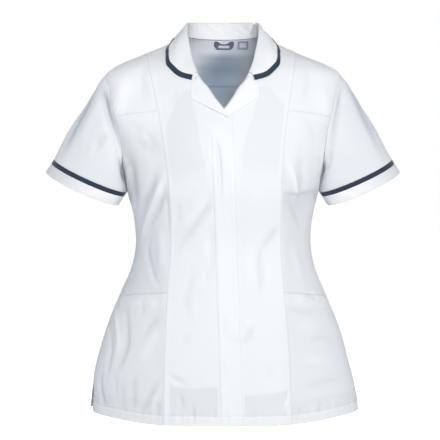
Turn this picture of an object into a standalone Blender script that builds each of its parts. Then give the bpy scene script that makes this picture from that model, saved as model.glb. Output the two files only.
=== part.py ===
"""Short-sleeved work tunic, worn and hollow, as the pieces a maker cuts and sews.

Metres, +Z up. The wearer faces -Y, so the wearer's right is -X. The origin is the middle of the
neck, level with the high points of the shoulders.
"""
import math

import bpy
from mathutils import Vector

# ---------------------------------------------------------------- driving dimensions
CLOTH = 0.0012           # wall of one layer
SEAM_GAP = 0.0003        # air between two pieces at a seam
LAYER_GAP = 0.0007       # air between a layer and the one that it lies on
SIDES = {"right": -1, "left": 1}     # sign of x on each side of the wearer
SHARP = 40.0             # degrees past which an edge between two facets is sharp

SHOULDER_TIP = -0.070    # height of the outer end of the shoulder seam
UNDERARM = -0.240        # height of the lowest point of the armhole
YOKE_SEAM = -0.085
HEM = -0.700
VENT_TOP = -0.645        # side vents run from here to the hem
VENT_OPEN = 1.1          # degrees that each edge of a vent stands back at the hem

# Rows of facets, where no seam sets them. The drops are measured from the top of a princess seam.
SHOULDER_ROWS = (-0.003, -0.012, -0.024)
PRINCESS_DROPS = (0.0008, 0.003, 0.008, 0.016, 0.026)
NECK_ROWS = (-0.079, -0.092, -0.104, -0.117, -0.130)
YOKE_ROWS = (-0.001, -0.010, -0.022, -0.036, -0.054)
ROW_SPACE = 0.002        # least height between two rows
UNDERARM_SPACE = 0.023   # from the underarm to the next row
POCKET_SPACE = 0.020     # from the last row of the side to the pocket's mouth
SIDE_ROWS = 7            # from below the underarm to above the pocket
POCKET_ROWS = 8
BACK_ROWS = 12           # from below the underarm to the hem

# The body of the tunic as level rings. front and back are the depths before and behind the side seam.
RING_COLUMNS = ("z", "half_width", "front", "back", "square")
RINGS = (
    (0.000, 0.0690, 0.0180, 0.0600, 2.00),
    (-0.018, 0.1070, 0.0390, 0.0710, 2.00),
    (-0.036, 0.1480, 0.0560, 0.0795, 2.00),
    (-0.054, 0.1910, 0.0700, 0.0860, 2.00),
    (-0.070, 0.2160, 0.0805, 0.0905, 2.00),
    (-0.100, 0.2200, 0.0950, 0.0970, 2.00),
    (-0.145, 0.2170, 0.1120, 0.1035, 2.00),
    (-0.190, 0.2040, 0.1250, 0.1055, 2.00),
    (-0.240, 0.1865, 0.1320, 0.1030, 2.05),
    (-0.290, 0.1780, 0.1300, 0.0970, 2.10),
    (-0.340, 0.1665, 0.1200, 0.0910, 2.10),
    (-0.390, 0.1635, 0.1120, 0.0885, 2.10),
    (-0.430, 0.1710, 0.1130, 0.0940, 2.10),
    (-0.480, 0.1920, 0.1190, 0.1060, 2.15),
    (-0.530, 0.2120, 0.1260, 0.1180, 2.20),
    (-0.590, 0.2300, 0.1330, 0.1280, 2.20),
    (-0.650, 0.2425, 0.1380, 0.1350, 2.25),
    (-0.700, 0.2475, 0.1410, 0.1390, 2.35),
)

# Distance of each princess seam from the middle, on the wearer's right and left.
PRINCESS_COLUMNS = ("z", "right", "left")
PRINCESS = (
    (-0.030, 0.1430, 0.1350),
    (-0.080, 0.1320, 0.1270),
    (-0.145, 0.1180, 0.1170),
    (-0.230, 0.1040, 0.1080),
    (-0.320, 0.0950, 0.1040),
    (-0.400, 0.0955, 0.1050),
    (-0.480, 0.1010, 0.1100),
    (-0.560, 0.1045, 0.1170),
    (-0.700, 0.1065, 0.1220),
)

# Half-width of the neck opening in the fronts, down to the foot of the V.
NECK_COLUMNS = ("z", "half_width")
NECK = (
    (0.000, 0.0690),
    (-0.022, 0.0685),
    (-0.042, 0.0665),
    (-0.062, 0.0610),
    (-0.079, 0.0510),
    (-0.092, 0.0395),
    (-0.104, 0.0293),
    (-0.130, 0.0120),
    (-0.144, 0.0055),
    (-0.157, 0.0030),
)
NECK_FOOT = -0.1565

# Fly placket: its middle line drifts towards the wearer's left on the way down.
PLACKET_TOP = -0.158
PLACKET_WIDTH = 0.040
PLACKET_MIDDLE_TOP = -0.003
PLACKET_MIDDLE_HEM = 0.015
UNDERLAP = 0.016         # how far the left front runs past the middle line, under the placket
UNDERLAP_EASE = 0.035    # width over which the left front sinks to pass under it

CHEST_SEAM_AT_PRINCESS = -0.146
POCKET_MOUTH_AT_PRINCESS = -0.474
POCKET_MOUTH_AT_SIDE = -0.488
POCKET_SINK = CLOTH + LAYER_GAP

ARMHOLE_DEPTH = 27.0     # degrees from the side seam line to the front or back edge of the armhole
ARMHOLE_STEPS = 10       # rows from the shoulder tip to the underarm

# Sleeve: the oval where the edging starts, and the oval of the cuff's open edge.
SLEEVE_ROWS = 6
SLEEVE_CLEAR_TOP = 0.0012        # sideways step from the armhole to the sleeve, at the shoulder tip
SLEEVE_CLEAR_UNDERARM = 0.0026   # and at the underarm, where the two meet at a sharp angle
SLEEVE_END = Vector((0.2495, 0.008, -0.2620))
CUFF_END = Vector((0.2645, 0.0125, -0.2850))
SLEEVE_LEAVE = Vector((0.62, 0.0, -0.78))    # way that the sleeve leaves the armhole
SLEEVE_SWELL = 0.17                          # and how much it spreads there
SLEEVE_HALF_WIDTH = 0.0745
SLEEVE_HALF_DEPTH = 0.0560
SLEEVE_SLANT = 24.5      # degrees that the oval drops towards the body
SLEEVE_LEAN = 9.0        # degrees that the front of the oval drops
EDGING = 0.0065          # width of the navy edging
EDGING_PROUD = 0.0004    # how far the edging stands over the cloth beside it

# Collar, from the middle of the back (station 0) round the side (3) to the notch (7), wearer's left.
# The seam runs on the neck line, the roll is the top fold, and the edge lies on the shoulder. The
# swell is how far the fall bows out between the roll and the edge.
COLLAR_COLUMNS = ("station", "seam_z", "roll_x", "roll_y", "roll_z", "edge_angle", "edge_z", "swell")
COLLAR = (
    (0, 0.000, 0.0000, 0.0665, 0.0340, 180.0, -0.0240, 0.0020),
    (1, 0.000, 0.0355, 0.0560, 0.0330, 150.0, -0.0230, 0.0020),
    (2, 0.000, 0.0585, 0.0320, 0.0290, 120.0, -0.0185, 0.0015),
    (3, 0.000, 0.0650, 0.0010, 0.0220, 90.0, -0.0105, 0.0005),
    (4, -0.022, 0.0650, -0.0220, 0.0040, 54.0, -0.0265, 0.0020),
    (5, -0.042, 0.0615, -0.0440, -0.0260, 35.5, -0.0480, 0.0035),
    (6, -0.062, 0.0555, -0.0640, -0.0550, 24.9, -0.0718, 0.0035),
    (7, -0.079, 0.0460, -0.0840, -0.0775, 14.6, -0.0884, 0.0025),
)
COLLAR_SECTIONS = 2      # sections between one station and the next
COLLAR_AIR = 0.0022      # height of the collar's edge over the middle of the cloth that it lies on
COLLAR_ROLL = 0.0022     # radius of the top fold
COLLAR_LIFT = 0.0026     # height of the stand's foot over the neck line
COLLAR_FALL_ROWS = (0.3, 0.6)        # shares of the fall where it is measured, apart from its edging
COLLAR_EDGING = 0.0070

# Lapels, from the notch to the foot of the V: x and z of the fold, then x and z of the free edge.
LAPELS = {
    "right": (
        (-0.0470, -0.0795, -0.0550, -0.0905),
        (-0.0372, -0.0945, -0.0568, -0.1085),
        (-0.0275, -0.1060, -0.0585, -0.1255),
        (-0.0130, -0.1250, -0.0270, -0.1420),
        (0.0020, -0.1440, 0.0090, -0.1595),
    ),
    "left": (
        (0.0470, -0.0795, 0.0575, -0.0905),
        (0.0380, -0.0945, 0.0625, -0.1065),
        (0.0285, -0.1060, 0.0650, -0.1215),
        (0.0160, -0.1240, 0.0370, -0.1410),
        (0.0036, -0.1430, 0.0106, -0.1575),
    ),
}
LAPEL_HEIGHTS = (0.0015, 0.0026, 0.0024, 0.0018)   # over the front, from the fold to the free edge

LABEL_TOP = -0.0015      # both inside labels hang from here
LABEL_CLOTH = 0.0010
TAB_WIDTH = 0.039
TAB_HEIGHT = 0.014
TAB_SHAPE = (0.92, 1.0, 1.0, 0.86)
TAB_MIDDLE = 0.002
LABEL_WIDTH = 0.020
LABEL_HEIGHT = 0.013
LABEL_SHAPE = (1.0, 1.0)
LABEL_MIDDLE = 0.039

WHITE = (0.90, 0.91, 0.93, 1.0)
NAVY = (0.028, 0.043, 0.072, 1.0)
SLATE = (0.16, 0.20, 0.24, 1.0)


# ---------------------------------------------------------------- curves through the tables
def mix(a, b, t):
    return a + (b - a) * t


def steps(start, end, count):
    return [mix(start, end, k / count) for k in range(count + 1)]


def ease(t):
    t = min(max(t, 0.0), 1.0)
    return t * t * (3 - 2 * t)


def curve(table, columns, name):
    """A function of the table's first column: a smooth curve through the values of a named column."""
    rows = sorted((row[0], row[columns.index(name)]) for row in table)
    places = [row[0] for row in rows]
    values = [row[1] for row in rows]
    steps = [(values[i + 1] - values[i]) / (places[i + 1] - places[i]) for i in range(len(rows) - 1)]
    slopes = [steps[0]] + [(steps[i] + steps[i + 1]) / 2 for i in range(len(steps) - 1)] + [steps[-1]]

    def value(at):
        at = min(max(at, places[0]), places[-1])
        i = max(k for k in range(len(places) - 1) if places[k] <= at)
        span = places[i + 1] - places[i]
        t = (at - places[i]) / span
        leave = t * (1 - t) * (1 - t) * span * slopes[i]
        arrive = t * t * (t - 1) * span * slopes[i + 1]
        return mix(values[i], values[i + 1], ease(t)) + leave + arrive

    return value


half_width = curve(RINGS, RING_COLUMNS, "half_width")
front_depth = curve(RINGS, RING_COLUMNS, "front")
back_depth = curve(RINGS, RING_COLUMNS, "back")
squareness = curve(RINGS, RING_COLUMNS, "square")
princess = {side: curve(PRINCESS, PRINCESS_COLUMNS, side) for side in SIDES}
neck_half = curve(NECK, NECK_COLUMNS, "half_width")


# ---------------------------------------------------------------- the body surface
def body(angle, z):
    """Point of the body. Angle 0 is the middle of the front, 90 the wearer's left side, 180 the back."""
    s = math.sin(math.radians(angle))
    c = math.cos(math.radians(angle))
    power = 2 / squareness(z)
    depth = front_depth(z) if c > 0 else back_depth(z)
    x = math.copysign(half_width(z) * abs(s) ** power, s)
    y = -math.copysign(depth * abs(c) ** power, c)
    return Vector((x, y, z))


def body_normal(angle, z):
    """Outward direction of the body surface, from points a little way off on each side."""
    turn = 0.6
    rise = 0.0006
    across = body(angle + turn, z) - body(angle - turn, z)
    up = body(angle, min(z + rise, RINGS[0][0])) - body(angle, max(z - rise, RINGS[-1][0]))
    return across.cross(up).normalized()


def front_angle(x, z):
    """Angle of the point of the front that is x from the middle."""
    share = min(abs(x) / half_width(z), 1.0)
    return math.copysign(math.degrees(math.asin(share ** (squareness(z) / 2))), x)


def on_front(x, z, out=0.0):
    angle = front_angle(x, z)
    return body(angle, z) + body_normal(angle, z) * out


def princess_top(side):
    """Height where a princess seam meets the shoulder seam."""
    halvings = 40
    low, high = SHOULDER_TIP, RINGS[0][0]
    for _ in range(halvings):
        middle = (low + high) / 2
        if half_width(middle) > princess[side](middle):
            low = middle
        else:
            high = middle
    return low


def princess_levels(side):
    """Heights just below the top of a princess seam, close together where the seam turns forwards."""
    return [princess_top(side) - drop for drop in PRINCESS_DROPS]


def princess_edge(side):
    """A function of height: the angle of a princess seam, or of the shoulder seam above its top."""
    def edge(z):
        if half_width(z) <= princess[side](z):
            return SIDES[side] * 90.0
        return front_angle(SIDES[side] * princess[side](z), z)
    return edge


def armhole_levels():
    """Heights of the armhole's rows, from the shoulder tip to the underarm."""
    middle = (SHOULDER_TIP + UNDERARM) / 2
    reach = (SHOULDER_TIP - UNDERARM) / 2
    return [middle + reach * math.cos(math.pi * k / ARMHOLE_STEPS) for k in range(ARMHOLE_STEPS + 1)]


def lower_levels():
    """Heights of the rows from the chest seam to just above the pocket mouth, at the princess seams."""
    start, end = UNDERARM - UNDERARM_SPACE, POCKET_MOUTH_AT_PRINCESS + POCKET_SPACE
    return armhole_levels()[ARMHOLE_STEPS // 2 + 1:] + steps(start, end, SIDE_ROWS)


def pocket_levels():
    """Heights of the rows from the pocket mouth to the hem, at the princess seam and at the side."""
    return [(mix(POCKET_MOUTH_AT_PRINCESS, HEM, t), mix(POCKET_MOUTH_AT_SIDE, HEM, t))
            for t in steps(0.0, 1.0, POCKET_ROWS)]


def armhole_reach(z):
    """Degrees from the side line to the armhole's edge at a height."""
    along = (2 * z - SHOULDER_TIP - UNDERARM) / (SHOULDER_TIP - UNDERARM)
    return ARMHOLE_DEPTH * math.sqrt(max(0.0, 1 - along * along))


def side_reach(z):
    """Degrees that an outer edge stands back from the side line: armhole, seam, or vent."""
    if UNDERARM < z < SHOULDER_TIP:
        return armhole_reach(z)
    if z < VENT_TOP:
        return VENT_OPEN * ease((VENT_TOP - z) / (VENT_TOP - HEM))
    return 0.0


# ---------------------------------------------------------------- meshes
def material(name, colour, roughness):
    made = bpy.data.materials.new(name)
    made.use_nodes = True
    shader = made.node_tree.nodes["Principled BSDF"]
    shader.inputs["Base Color"].default_value = colour
    shader.inputs["Roughness"].default_value = roughness
    shader.inputs["Metallic"].default_value = 0.0
    return made


def add_object(name, verts, faces, finish):
    mesh = bpy.data.meshes.new(name)
    mesh.from_pydata([tuple(v) for v in verts], [], faces)
    mesh.materials.append(finish)
    mesh.shade_smooth()
    mesh.set_sharp_from_angle(angle=math.radians(SHARP))
    made = bpy.data.objects.new(name, mesh)
    bpy.context.collection.objects.link(made)
    return made


def grid_normals(points, closed):
    """Normals of a grid of points, with columns running left to right as seen from outside, rows down."""
    rows, cols = len(points), len(points[0])
    normals = []
    for i in range(rows):
        line = []
        for j in range(cols):
            left = points[i][(j - 1) % cols] if closed or j else points[i][j]
            right = points[i][(j + 1) % cols] if closed or j < cols - 1 else points[i][j]
            above = points[max(i - 1, 0)][j]
            below = points[min(i + 1, rows - 1)][j]
            line.append((right - left).cross(above - below).normalized())
        normals.append(line)
    return normals


def wall(name, points, normals, inner, outer, finish, closed=False):
    """A closed solid with a wall round a grid of points. Columns run left to right as seen from outside
    and rows run down; inner and outer are distances along the normals, or functions of row and column."""
    rows, cols = len(points), len(points[0])

    def offset(rule, i, j):
        return rule(i, j) if callable(rule) else rule

    verts = []
    for rule in (outer, inner):
        for i in range(rows):
            for j in range(cols):
                verts.append(points[i][j] + normals[i][j] * offset(rule, i, j))
    back = rows * cols

    def at(i, j):
        return i * cols + j % cols

    faces = []
    spans = cols if closed else cols - 1
    for i in range(rows - 1):
        for j in range(spans):
            a, b, c, d = at(i, j), at(i + 1, j), at(i + 1, j + 1), at(i, j + 1)
            faces += [(a, b, c), (a, c, d)]
            faces += [(a + back, c + back, b + back), (a + back, d + back, c + back)]
    rim = [(at(0, j + 1), at(0, j)) for j in range(spans)]
    rim += [(at(rows - 1, j), at(rows - 1, j + 1)) for j in range(spans)]
    if not closed:
        rim += [(at(i, 0), at(i + 1, 0)) for i in range(rows - 1)]
        rim += [(at(i + 1, cols - 1), at(i, cols - 1)) for i in range(rows - 1)]
    for a, b in rim:
        faces += [(a, a + back, b + back), (a, b + back, b)]
    return add_object(name, verts, faces, finish)


def draw_in(points, gap):
    """Moves the border of an open grid inwards by a gap."""
    rows, cols = len(points), len(points[0])
    moved = [[point.copy() for point in row] for row in points]
    for i in range(rows):
        moved[i][0] += (points[i][1] - points[i][0]).normalized() * gap
        moved[i][-1] += (points[i][-2] - points[i][-1]).normalized() * gap
    for j in range(cols):
        moved[0][j] += (points[1][j] - points[0][j]).normalized() * gap
        moved[-1][j] += (points[-2][j] - points[-1][j]).normalized() * gap
    return moved


def panel(name, levels, first, last, columns, finish, inner=-CLOTH / 2, outer=CLOTH / 2):
    """A cut piece of the body. Each level is a height, or one height for each edge; first and last give
    the angles of the edges at a height, with first further to the left as seen from outside."""
    points = []
    normals = []
    for level in levels:
        start, end = level if isinstance(level, tuple) else (level, level)
        row = []
        directions = []
        for k in range(columns + 1):
            z = mix(start, end, k / columns)
            angle = mix(first(z), last(z), k / columns)
            row.append(body(angle, z))
            directions.append(body_normal(angle, z))
        points.append(row)
        normals.append(directions)
    return wall(name, draw_in(points, SEAM_GAP / 2), normals, inner, outer, finish)


# ---------------------------------------------------------------- torso pieces
def placket_middle(z):
    return mix(PLACKET_MIDDLE_TOP, PLACKET_MIDDLE_HEM, (z - PLACKET_TOP) / (HEM - PLACKET_TOP))


def placket_levels():
    return [PLACKET_TOP] + lower_levels() + [pair[0] for pair in pocket_levels()]


def make_centre_fronts(finish):
    below = [*NECK_ROWS, CHEST_SEAM_AT_PRINCESS, NECK_FOOT] + placket_levels()
    levels = {side: [*SHOULDER_ROWS, princess_top(side)] + princess_levels(side) + below for side in SIDES}

    def middle_edge(z, side, past):
        """The neck line, and under its foot a line that runs past the placket's middle line."""
        if z >= NECK_FOOT:
            return front_angle(SIDES[side] * neck_half(z), z)
        return front_angle(placket_middle(z) - past, z)

    def right_middle(z):
        return middle_edge(z, "right", PLACKET_WIDTH / 2)

    def left_middle(z):
        return middle_edge(z, "left", UNDERLAP)

    left_outer = princess_edge("left")
    columns = {"right": 5, "left": 8}

    def sink(i, j):
        """How far the left front sinks under the placket, at a row and column."""
        z = levels["left"][i]
        if z > NECK_FOOT:
            return 0.0
        angle = mix(left_middle(z), left_outer(z), j / columns["left"])
        past = body(angle, z).x - placket_middle(z) - PLACKET_WIDTH / 2
        return -(CLOTH + LAYER_GAP) * (1 - ease(past / UNDERLAP_EASE))

    right_outer = princess_edge("right")
    panel("centre_front_right", levels["right"], right_outer, right_middle, columns["right"], finish)
    panel("centre_front_left", levels["left"], left_middle, left_outer, columns["left"], finish,
          lambda i, j: sink(i, j) - CLOTH / 2, lambda i, j: sink(i, j) + CLOTH / 2)


def make_placket(finish):
    def edge(side):
        return lambda z: front_angle(placket_middle(z) + side * PLACKET_WIDTH / 2, z)
    panel("fly_placket", placket_levels(), edge(-1), edge(1), 2, finish)


def make_side_front(side, finish):
    """The upper and lower side front, and the patch pocket in front of the lower one."""
    arm = armhole_levels()
    middle = ARMHOLE_STEPS // 2
    chest = (CHEST_SEAM_AT_PRINCESS, arm[middle])
    right = side == "right"

    def side_edge(z):
        return SIDES[side] * (90.0 - side_reach(z))

    edges = (side_edge, princess_edge(side)) if right else (princess_edge(side), side_edge)

    def order(pairs):
        return [pair[::-1] for pair in pairs] if right else pairs

    shoulder = [z for z in princess_levels(side) if z > SHOULDER_TIP + ROW_SPACE]
    top = [(z, z) for z in shoulder + arm[:middle]] + [chest]
    panel("side_front_top_" + side, order(top), *edges, columns=4, finish=finish)

    pocket = pocket_levels()
    above = [chest] + [(z, z) for z in lower_levels()]

    def sink(i):
        return -POCKET_SINK if i >= len(above) else 0.0

    panel("side_front_" + side, order(above + pocket), *edges, columns=5, finish=finish,
          inner=lambda i, j: sink(i) - CLOTH / 2, outer=lambda i, j: sink(i) + CLOTH / 2)
    panel("pocket_" + side, order(pocket), *edges, columns=5, finish=finish)


def make_backs(finish):
    arm = armhole_levels()

    def right_edge(z):
        return 90.0 + side_reach(z)

    def left_edge(z):
        return 270.0 - side_reach(z)

    yoke = [*YOKE_ROWS] + [z for z in arm if z > YOKE_SEAM + ROW_SPACE] + [YOKE_SEAM]
    panel("back_yoke", yoke, right_edge, left_edge, columns=16, finish=finish)
    below = [YOKE_SEAM] + [z for z in arm if z < YOKE_SEAM - ROW_SPACE]
    below += steps(UNDERARM - UNDERARM_SPACE, HEM, BACK_ROWS)
    panel("back", below, right_edge, left_edge, columns=16, finish=finish)


# ---------------------------------------------------------------- sleeves
def armhole_point(turn, sign):
    """Point of the armhole seam. Turn 0 is the shoulder tip, 90 the front, 180 the underarm."""
    z = mix(UNDERARM, SHOULDER_TIP, (1 + math.cos(math.radians(turn))) / 2)
    return body(sign * (90.0 - ARMHOLE_DEPTH * math.sin(math.radians(turn))), z)


def sleeve_oval(centre, turn, sign):
    """Point of an oval of the sleeve, by the same turn as the armhole."""
    slant = math.radians(SLEEVE_SLANT)
    lean = math.radians(SLEEVE_LEAN)
    outward = Vector((math.cos(slant), 0.0, math.sin(slant)))
    forward = Vector((0.0, -math.cos(lean), -math.sin(lean)))
    across = SLEEVE_HALF_WIDTH * math.cos(math.radians(turn))
    along = SLEEVE_HALF_DEPTH * math.sin(math.radians(turn))
    point = centre + outward * across + forward * along
    return Vector((sign * point.x, point.y, point.z))


def sleeve_point(turn, t, sign):
    """Point of the sleeve from the armhole (t = 0) to the edging (t = 1)."""
    clear = mix(SLEEVE_CLEAR_UNDERARM, SLEEVE_CLEAR_TOP, (1 + math.cos(math.radians(turn))) / 2)
    start = armhole_point(turn, sign) + Vector((sign * clear, 0.0, 0.0))
    end = sleeve_oval(SLEEVE_END, turn, sign)
    reach = (end - start).length
    swell = Vector((0.0, -math.sin(math.radians(turn)), math.cos(math.radians(turn)))) * SLEEVE_SWELL
    leave = (Vector((sign * SLEEVE_LEAVE.x, 0.0, SLEEVE_LEAVE.z)) + swell).normalized() * reach
    axis = CUFF_END - SLEEVE_END
    arrive = Vector((sign * axis.x, axis.y, axis.z)).normalized() * reach
    return start.lerp(end, ease(t)) + leave * (t * (1 - t) ** 2) + arrive * (t * t * (t - 1))


def ring_turns(sign):
    """Turns round the sleeve, in the order that runs left to right as seen from outside."""
    count = 2 * ARMHOLE_STEPS
    turns = [360.0 * k / count for k in range(count)]
    return turns if sign < 0 else turns[::-1]


def make_sleeve(side, cloth, navy):
    """The sleeve, its band of edging and its cuff."""
    sign = SIDES[side]
    turns = ring_turns(sign)
    length = (CUFF_END - SLEEVE_END).length

    def band(start, end, count):
        centres = [SLEEVE_END.lerp(CUFF_END, along / length) for along in steps(start, end, count)]
        return [[sleeve_oval(centre, turn, sign) for turn in turns] for centre in centres]

    def tube(name, rows, finish, proud=0.0):
        wall(name, rows, grid_normals(rows, True), -CLOTH / 2, CLOTH / 2 + proud, finish, True)

    rows = [[sleeve_point(turn, t, sign) for turn in turns] for t in steps(0.0, 1.0, SLEEVE_ROWS)]
    tube("sleeve_" + side, rows, cloth)
    tube("sleeve_edge_" + side, band(SEAM_GAP, EDGING, 1), navy, EDGING_PROUD)
    tube("cuff_" + side, band(EDGING + SEAM_GAP, length, 2), cloth)


# ---------------------------------------------------------------- collar and lapels
collar_curve = {name: curve(COLLAR, COLLAR_COLUMNS, name) for name in COLLAR_COLUMNS[1:]}
SIDE_STATION = 3
NOTCH_STATION = COLLAR[-1][0]


def collar_seam(station):
    """Point of the neck seam, wearer's left."""
    if station <= SIDE_STATION:
        return body(180.0 - 90.0 * station / SIDE_STATION, RINGS[0][0])
    z = collar_curve["seam_z"](station)
    return on_front(neck_half(z), z)


def collar_roll(station):
    return Vector([collar_curve[name](station) for name in ("roll_x", "roll_y", "roll_z")])


def collar_section(station):
    """The folded section at a station, from the neck seam over the roll to the edge, wearer's left."""
    seam = collar_seam(station)
    roll = collar_roll(station)
    angle = collar_curve["edge_angle"](station)
    edge_z = collar_curve["edge_z"](station)
    edge = body(angle, edge_z) + body_normal(angle, edge_z) * COLLAR_AIR
    up = (roll - seam).normalized()
    near = 0.2
    along = collar_roll(min(station + near, NOTCH_STATION)) - collar_roll(max(station - near, 0))
    out = up.cross(along).normalized()
    foot = seam + up * COLLAR_LIFT
    stand_top = roll - up * COLLAR_ROLL
    fall_top = roll + out * (2 * COLLAR_ROLL) - up * COLLAR_ROLL
    fall = edge - fall_top
    swell = collar_curve["swell"](station)
    bowed = [fall_top + fall * t + out * (swell * 4 * t * (1 - t))
             for t in (*COLLAR_FALL_ROWS, 1 - COLLAR_EDGING / fall.length)]
    return [foot, foot.lerp(stand_top, 0.5), stand_top, roll + out * COLLAR_ROLL, fall_top, *bowed, edge]


def make_collar(cloth, navy):
    stations = steps(NOTCH_STATION, 0, NOTCH_STATION * COLLAR_SECTIONS)
    left = [collar_section(station) for station in stations]
    right = [[Vector((-p.x, p.y, p.z)) for p in section] for section in left[-2::-1]]
    sections = left + right
    rows = [[section[i] for section in sections] for i in range(len(sections[0]))]
    normals = grid_normals(rows, False)
    wall("collar", rows, normals, -CLOTH / 2, CLOTH / 2, cloth)
    above = CLOTH / 2 + SEAM_GAP
    wall("collar_edge", rows[-2:], normals[-2:], above, above + CLOTH, navy)


def make_lapels(cloth):
    for side, table in LAPELS.items():
        rows = []
        for k, height in enumerate(LAPEL_HEIGHTS):
            t = k / (len(LAPEL_HEIGHTS) - 1)
            row = []
            for roll_x, roll_z, free_x, free_z in table:
                row.append(on_front(mix(roll_x, free_x, t), mix(roll_z, free_z, t), height))
            rows.append(row if side == "right" else row[::-1])
        wall("lapel_" + side, rows, grid_normals(rows, False), -CLOTH / 2, CLOTH / 2, cloth)


# ---------------------------------------------------------------- labels inside the back neck
def make_inside_label(name, middle, width, height, shape, finish):
    """A bare label on the inside of the yoke, hanging from the neck seam; shape gives a share of the
    width at each row from the seam down."""
    points = []
    normals = []
    for k, share in enumerate(shape):
        z = LABEL_TOP - height * k / (len(shape) - 1)
        angles = [180.0 - front_angle(middle + width * share * across, z) for across in (0.5, 0.0, -0.5)]
        points.append([body(angle, z) for angle in angles])
        normals.append([body_normal(angle, z) for angle in angles])
    outer = -CLOTH / 2 - LAYER_GAP
    wall(name, points, normals, outer - LABEL_CLOTH, outer, finish)


def main():
    for old in list(bpy.data.objects):
        bpy.data.objects.remove(old, do_unlink=True)
    cloth = material("white_cloth", WHITE, 0.85)
    navy = material("navy_edging", NAVY, 0.8)
    slate = material("slate_tab", SLATE, 0.7)
    make_centre_fronts(cloth)
    make_placket(cloth)
    make_backs(cloth)
    for side in SIDES:
        make_side_front(side, cloth)
        make_sleeve(side, cloth, navy)
    make_collar(cloth, navy)
    make_lapels(cloth)
    make_inside_label("neck_tab", TAB_MIDDLE, TAB_WIDTH, TAB_HEIGHT, TAB_SHAPE, slate)
    make_inside_label("neck_label", LABEL_MIDDLE, LABEL_WIDTH, LABEL_HEIGHT, LABEL_SHAPE, cloth)


main()
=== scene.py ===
import math

import bpy
import numpy as np
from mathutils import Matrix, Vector


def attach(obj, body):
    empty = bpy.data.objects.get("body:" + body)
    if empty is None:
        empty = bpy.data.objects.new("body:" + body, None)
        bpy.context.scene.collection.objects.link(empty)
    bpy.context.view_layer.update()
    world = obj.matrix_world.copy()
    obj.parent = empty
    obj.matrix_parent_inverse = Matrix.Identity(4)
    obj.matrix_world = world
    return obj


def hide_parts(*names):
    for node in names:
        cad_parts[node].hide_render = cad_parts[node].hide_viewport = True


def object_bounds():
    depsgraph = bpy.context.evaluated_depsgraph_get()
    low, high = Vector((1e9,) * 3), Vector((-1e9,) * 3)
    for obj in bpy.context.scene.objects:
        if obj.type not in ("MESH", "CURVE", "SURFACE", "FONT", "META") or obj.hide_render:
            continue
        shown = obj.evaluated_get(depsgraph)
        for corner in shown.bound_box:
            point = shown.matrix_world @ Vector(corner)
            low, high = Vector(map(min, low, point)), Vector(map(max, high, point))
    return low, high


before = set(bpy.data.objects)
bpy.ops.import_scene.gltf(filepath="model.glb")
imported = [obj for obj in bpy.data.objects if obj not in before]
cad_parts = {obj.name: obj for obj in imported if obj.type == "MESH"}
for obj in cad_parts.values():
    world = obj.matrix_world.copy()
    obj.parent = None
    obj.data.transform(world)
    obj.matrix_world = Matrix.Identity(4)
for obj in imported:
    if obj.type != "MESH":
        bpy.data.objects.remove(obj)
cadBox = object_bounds()
print("frame loaded:", len(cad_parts), "cloth solids")


# The torso as level rings. front and back are the depths before and behind the side seam.
bodyForm = {
    "z":         (0.000, -0.018, -0.036, -0.054, -0.070, -0.100, -0.145, -0.190, -0.240,
                  -0.290, -0.340, -0.390, -0.430, -0.480, -0.530, -0.590, -0.650, -0.700),
    "halfWidth": (0.0690, 0.1070, 0.1480, 0.1910, 0.2160, 0.2200, 0.2170, 0.2040, 0.1865,
                  0.1780, 0.1665, 0.1635, 0.1710, 0.1920, 0.2120, 0.2300, 0.2425, 0.2475),
    "front":     (0.0180, 0.0390, 0.0560, 0.0700, 0.0805, 0.0950, 0.1120, 0.1250, 0.1320,
                  0.1300, 0.1200, 0.1120, 0.1130, 0.1190, 0.1260, 0.1330, 0.1380, 0.1410),
    "back":      (0.0600, 0.0710, 0.0795, 0.0860, 0.0905, 0.0970, 0.1035, 0.1055, 0.1030,
                  0.0970, 0.0910, 0.0885, 0.0940, 0.1060, 0.1180, 0.1280, 0.1350, 0.1390),
    "square":    (2.00, 2.00, 2.00, 2.00, 2.00, 2.00, 2.00, 2.00, 2.05,
                  2.10, 2.10, 2.10, 2.10, 2.15, 2.20, 2.20, 2.25, 2.35),
}
# Distance of each princess seam from the middle of the front.
princessForm = {
    "z":     (-0.030, -0.080, -0.145, -0.230, -0.320, -0.400, -0.480, -0.560, -0.700),
    "right": (0.1430, 0.1320, 0.1180, 0.1040, 0.0950, 0.0955, 0.1010, 0.1045, 0.1065),
    "left":  (0.1350, 0.1270, 0.1170, 0.1080, 0.1040, 0.1050, 0.1100, 0.1170, 0.1220),
}
# Half the width of the neck opening in the fronts.
neckForm = {
    "z":         (0.000, -0.022, -0.042, -0.062, -0.079, -0.092, -0.104, -0.130, -0.144, -0.157),
    "halfWidth": (0.0690, 0.0685, 0.0665, 0.0610, 0.0510, 0.0395, 0.0293, 0.0120, 0.0055, 0.0030),
}
cut = {
    "cloth": 0.0008,          # wall of one layer
    "doubled": 0.0012,        # wall of a folded or faced edge
    "seamGap": 0.0003,
    "seamDip": 0.0006,        # how far the cloth rolls down into a seam
    "cell": 0.0026,           # size of the mesh's cells
    "shoulderTip": -0.070,
    "underarm": -0.240,
    "armholeReach": 23.5,     # degrees from the side line to the armhole's front or back edge
    "yokeSeam": -0.085,
    "chestSeam": (-0.146, -0.155),       # at the princess seam and at the armhole
    "pocketMouth": (-0.474, -0.488),     # at the princess seam and at the side
    "hem": -0.700,
    "hemTurn": 0.0165,
    "hemDrop": 0.0058,        # how far the hem hangs below its level
    "hemRise": 0.0116,        # and how much less at the side seams
    "ventTop": -0.645,
    "ventTurn": 0.009,
    "ventOpen": 1.1,          # degrees that a vent's edges stand back at the hem
    "ventBack": 0.0080,       # how far the right vent's back edge sinks, and the left side stands out
    "ventStand": 0.0030,
    "neckFoot": -0.1565,
    "layer": 0.0019,          # from a panel to the one that lies on it
}
sides = {"right": -1, "left": 1}


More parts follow.
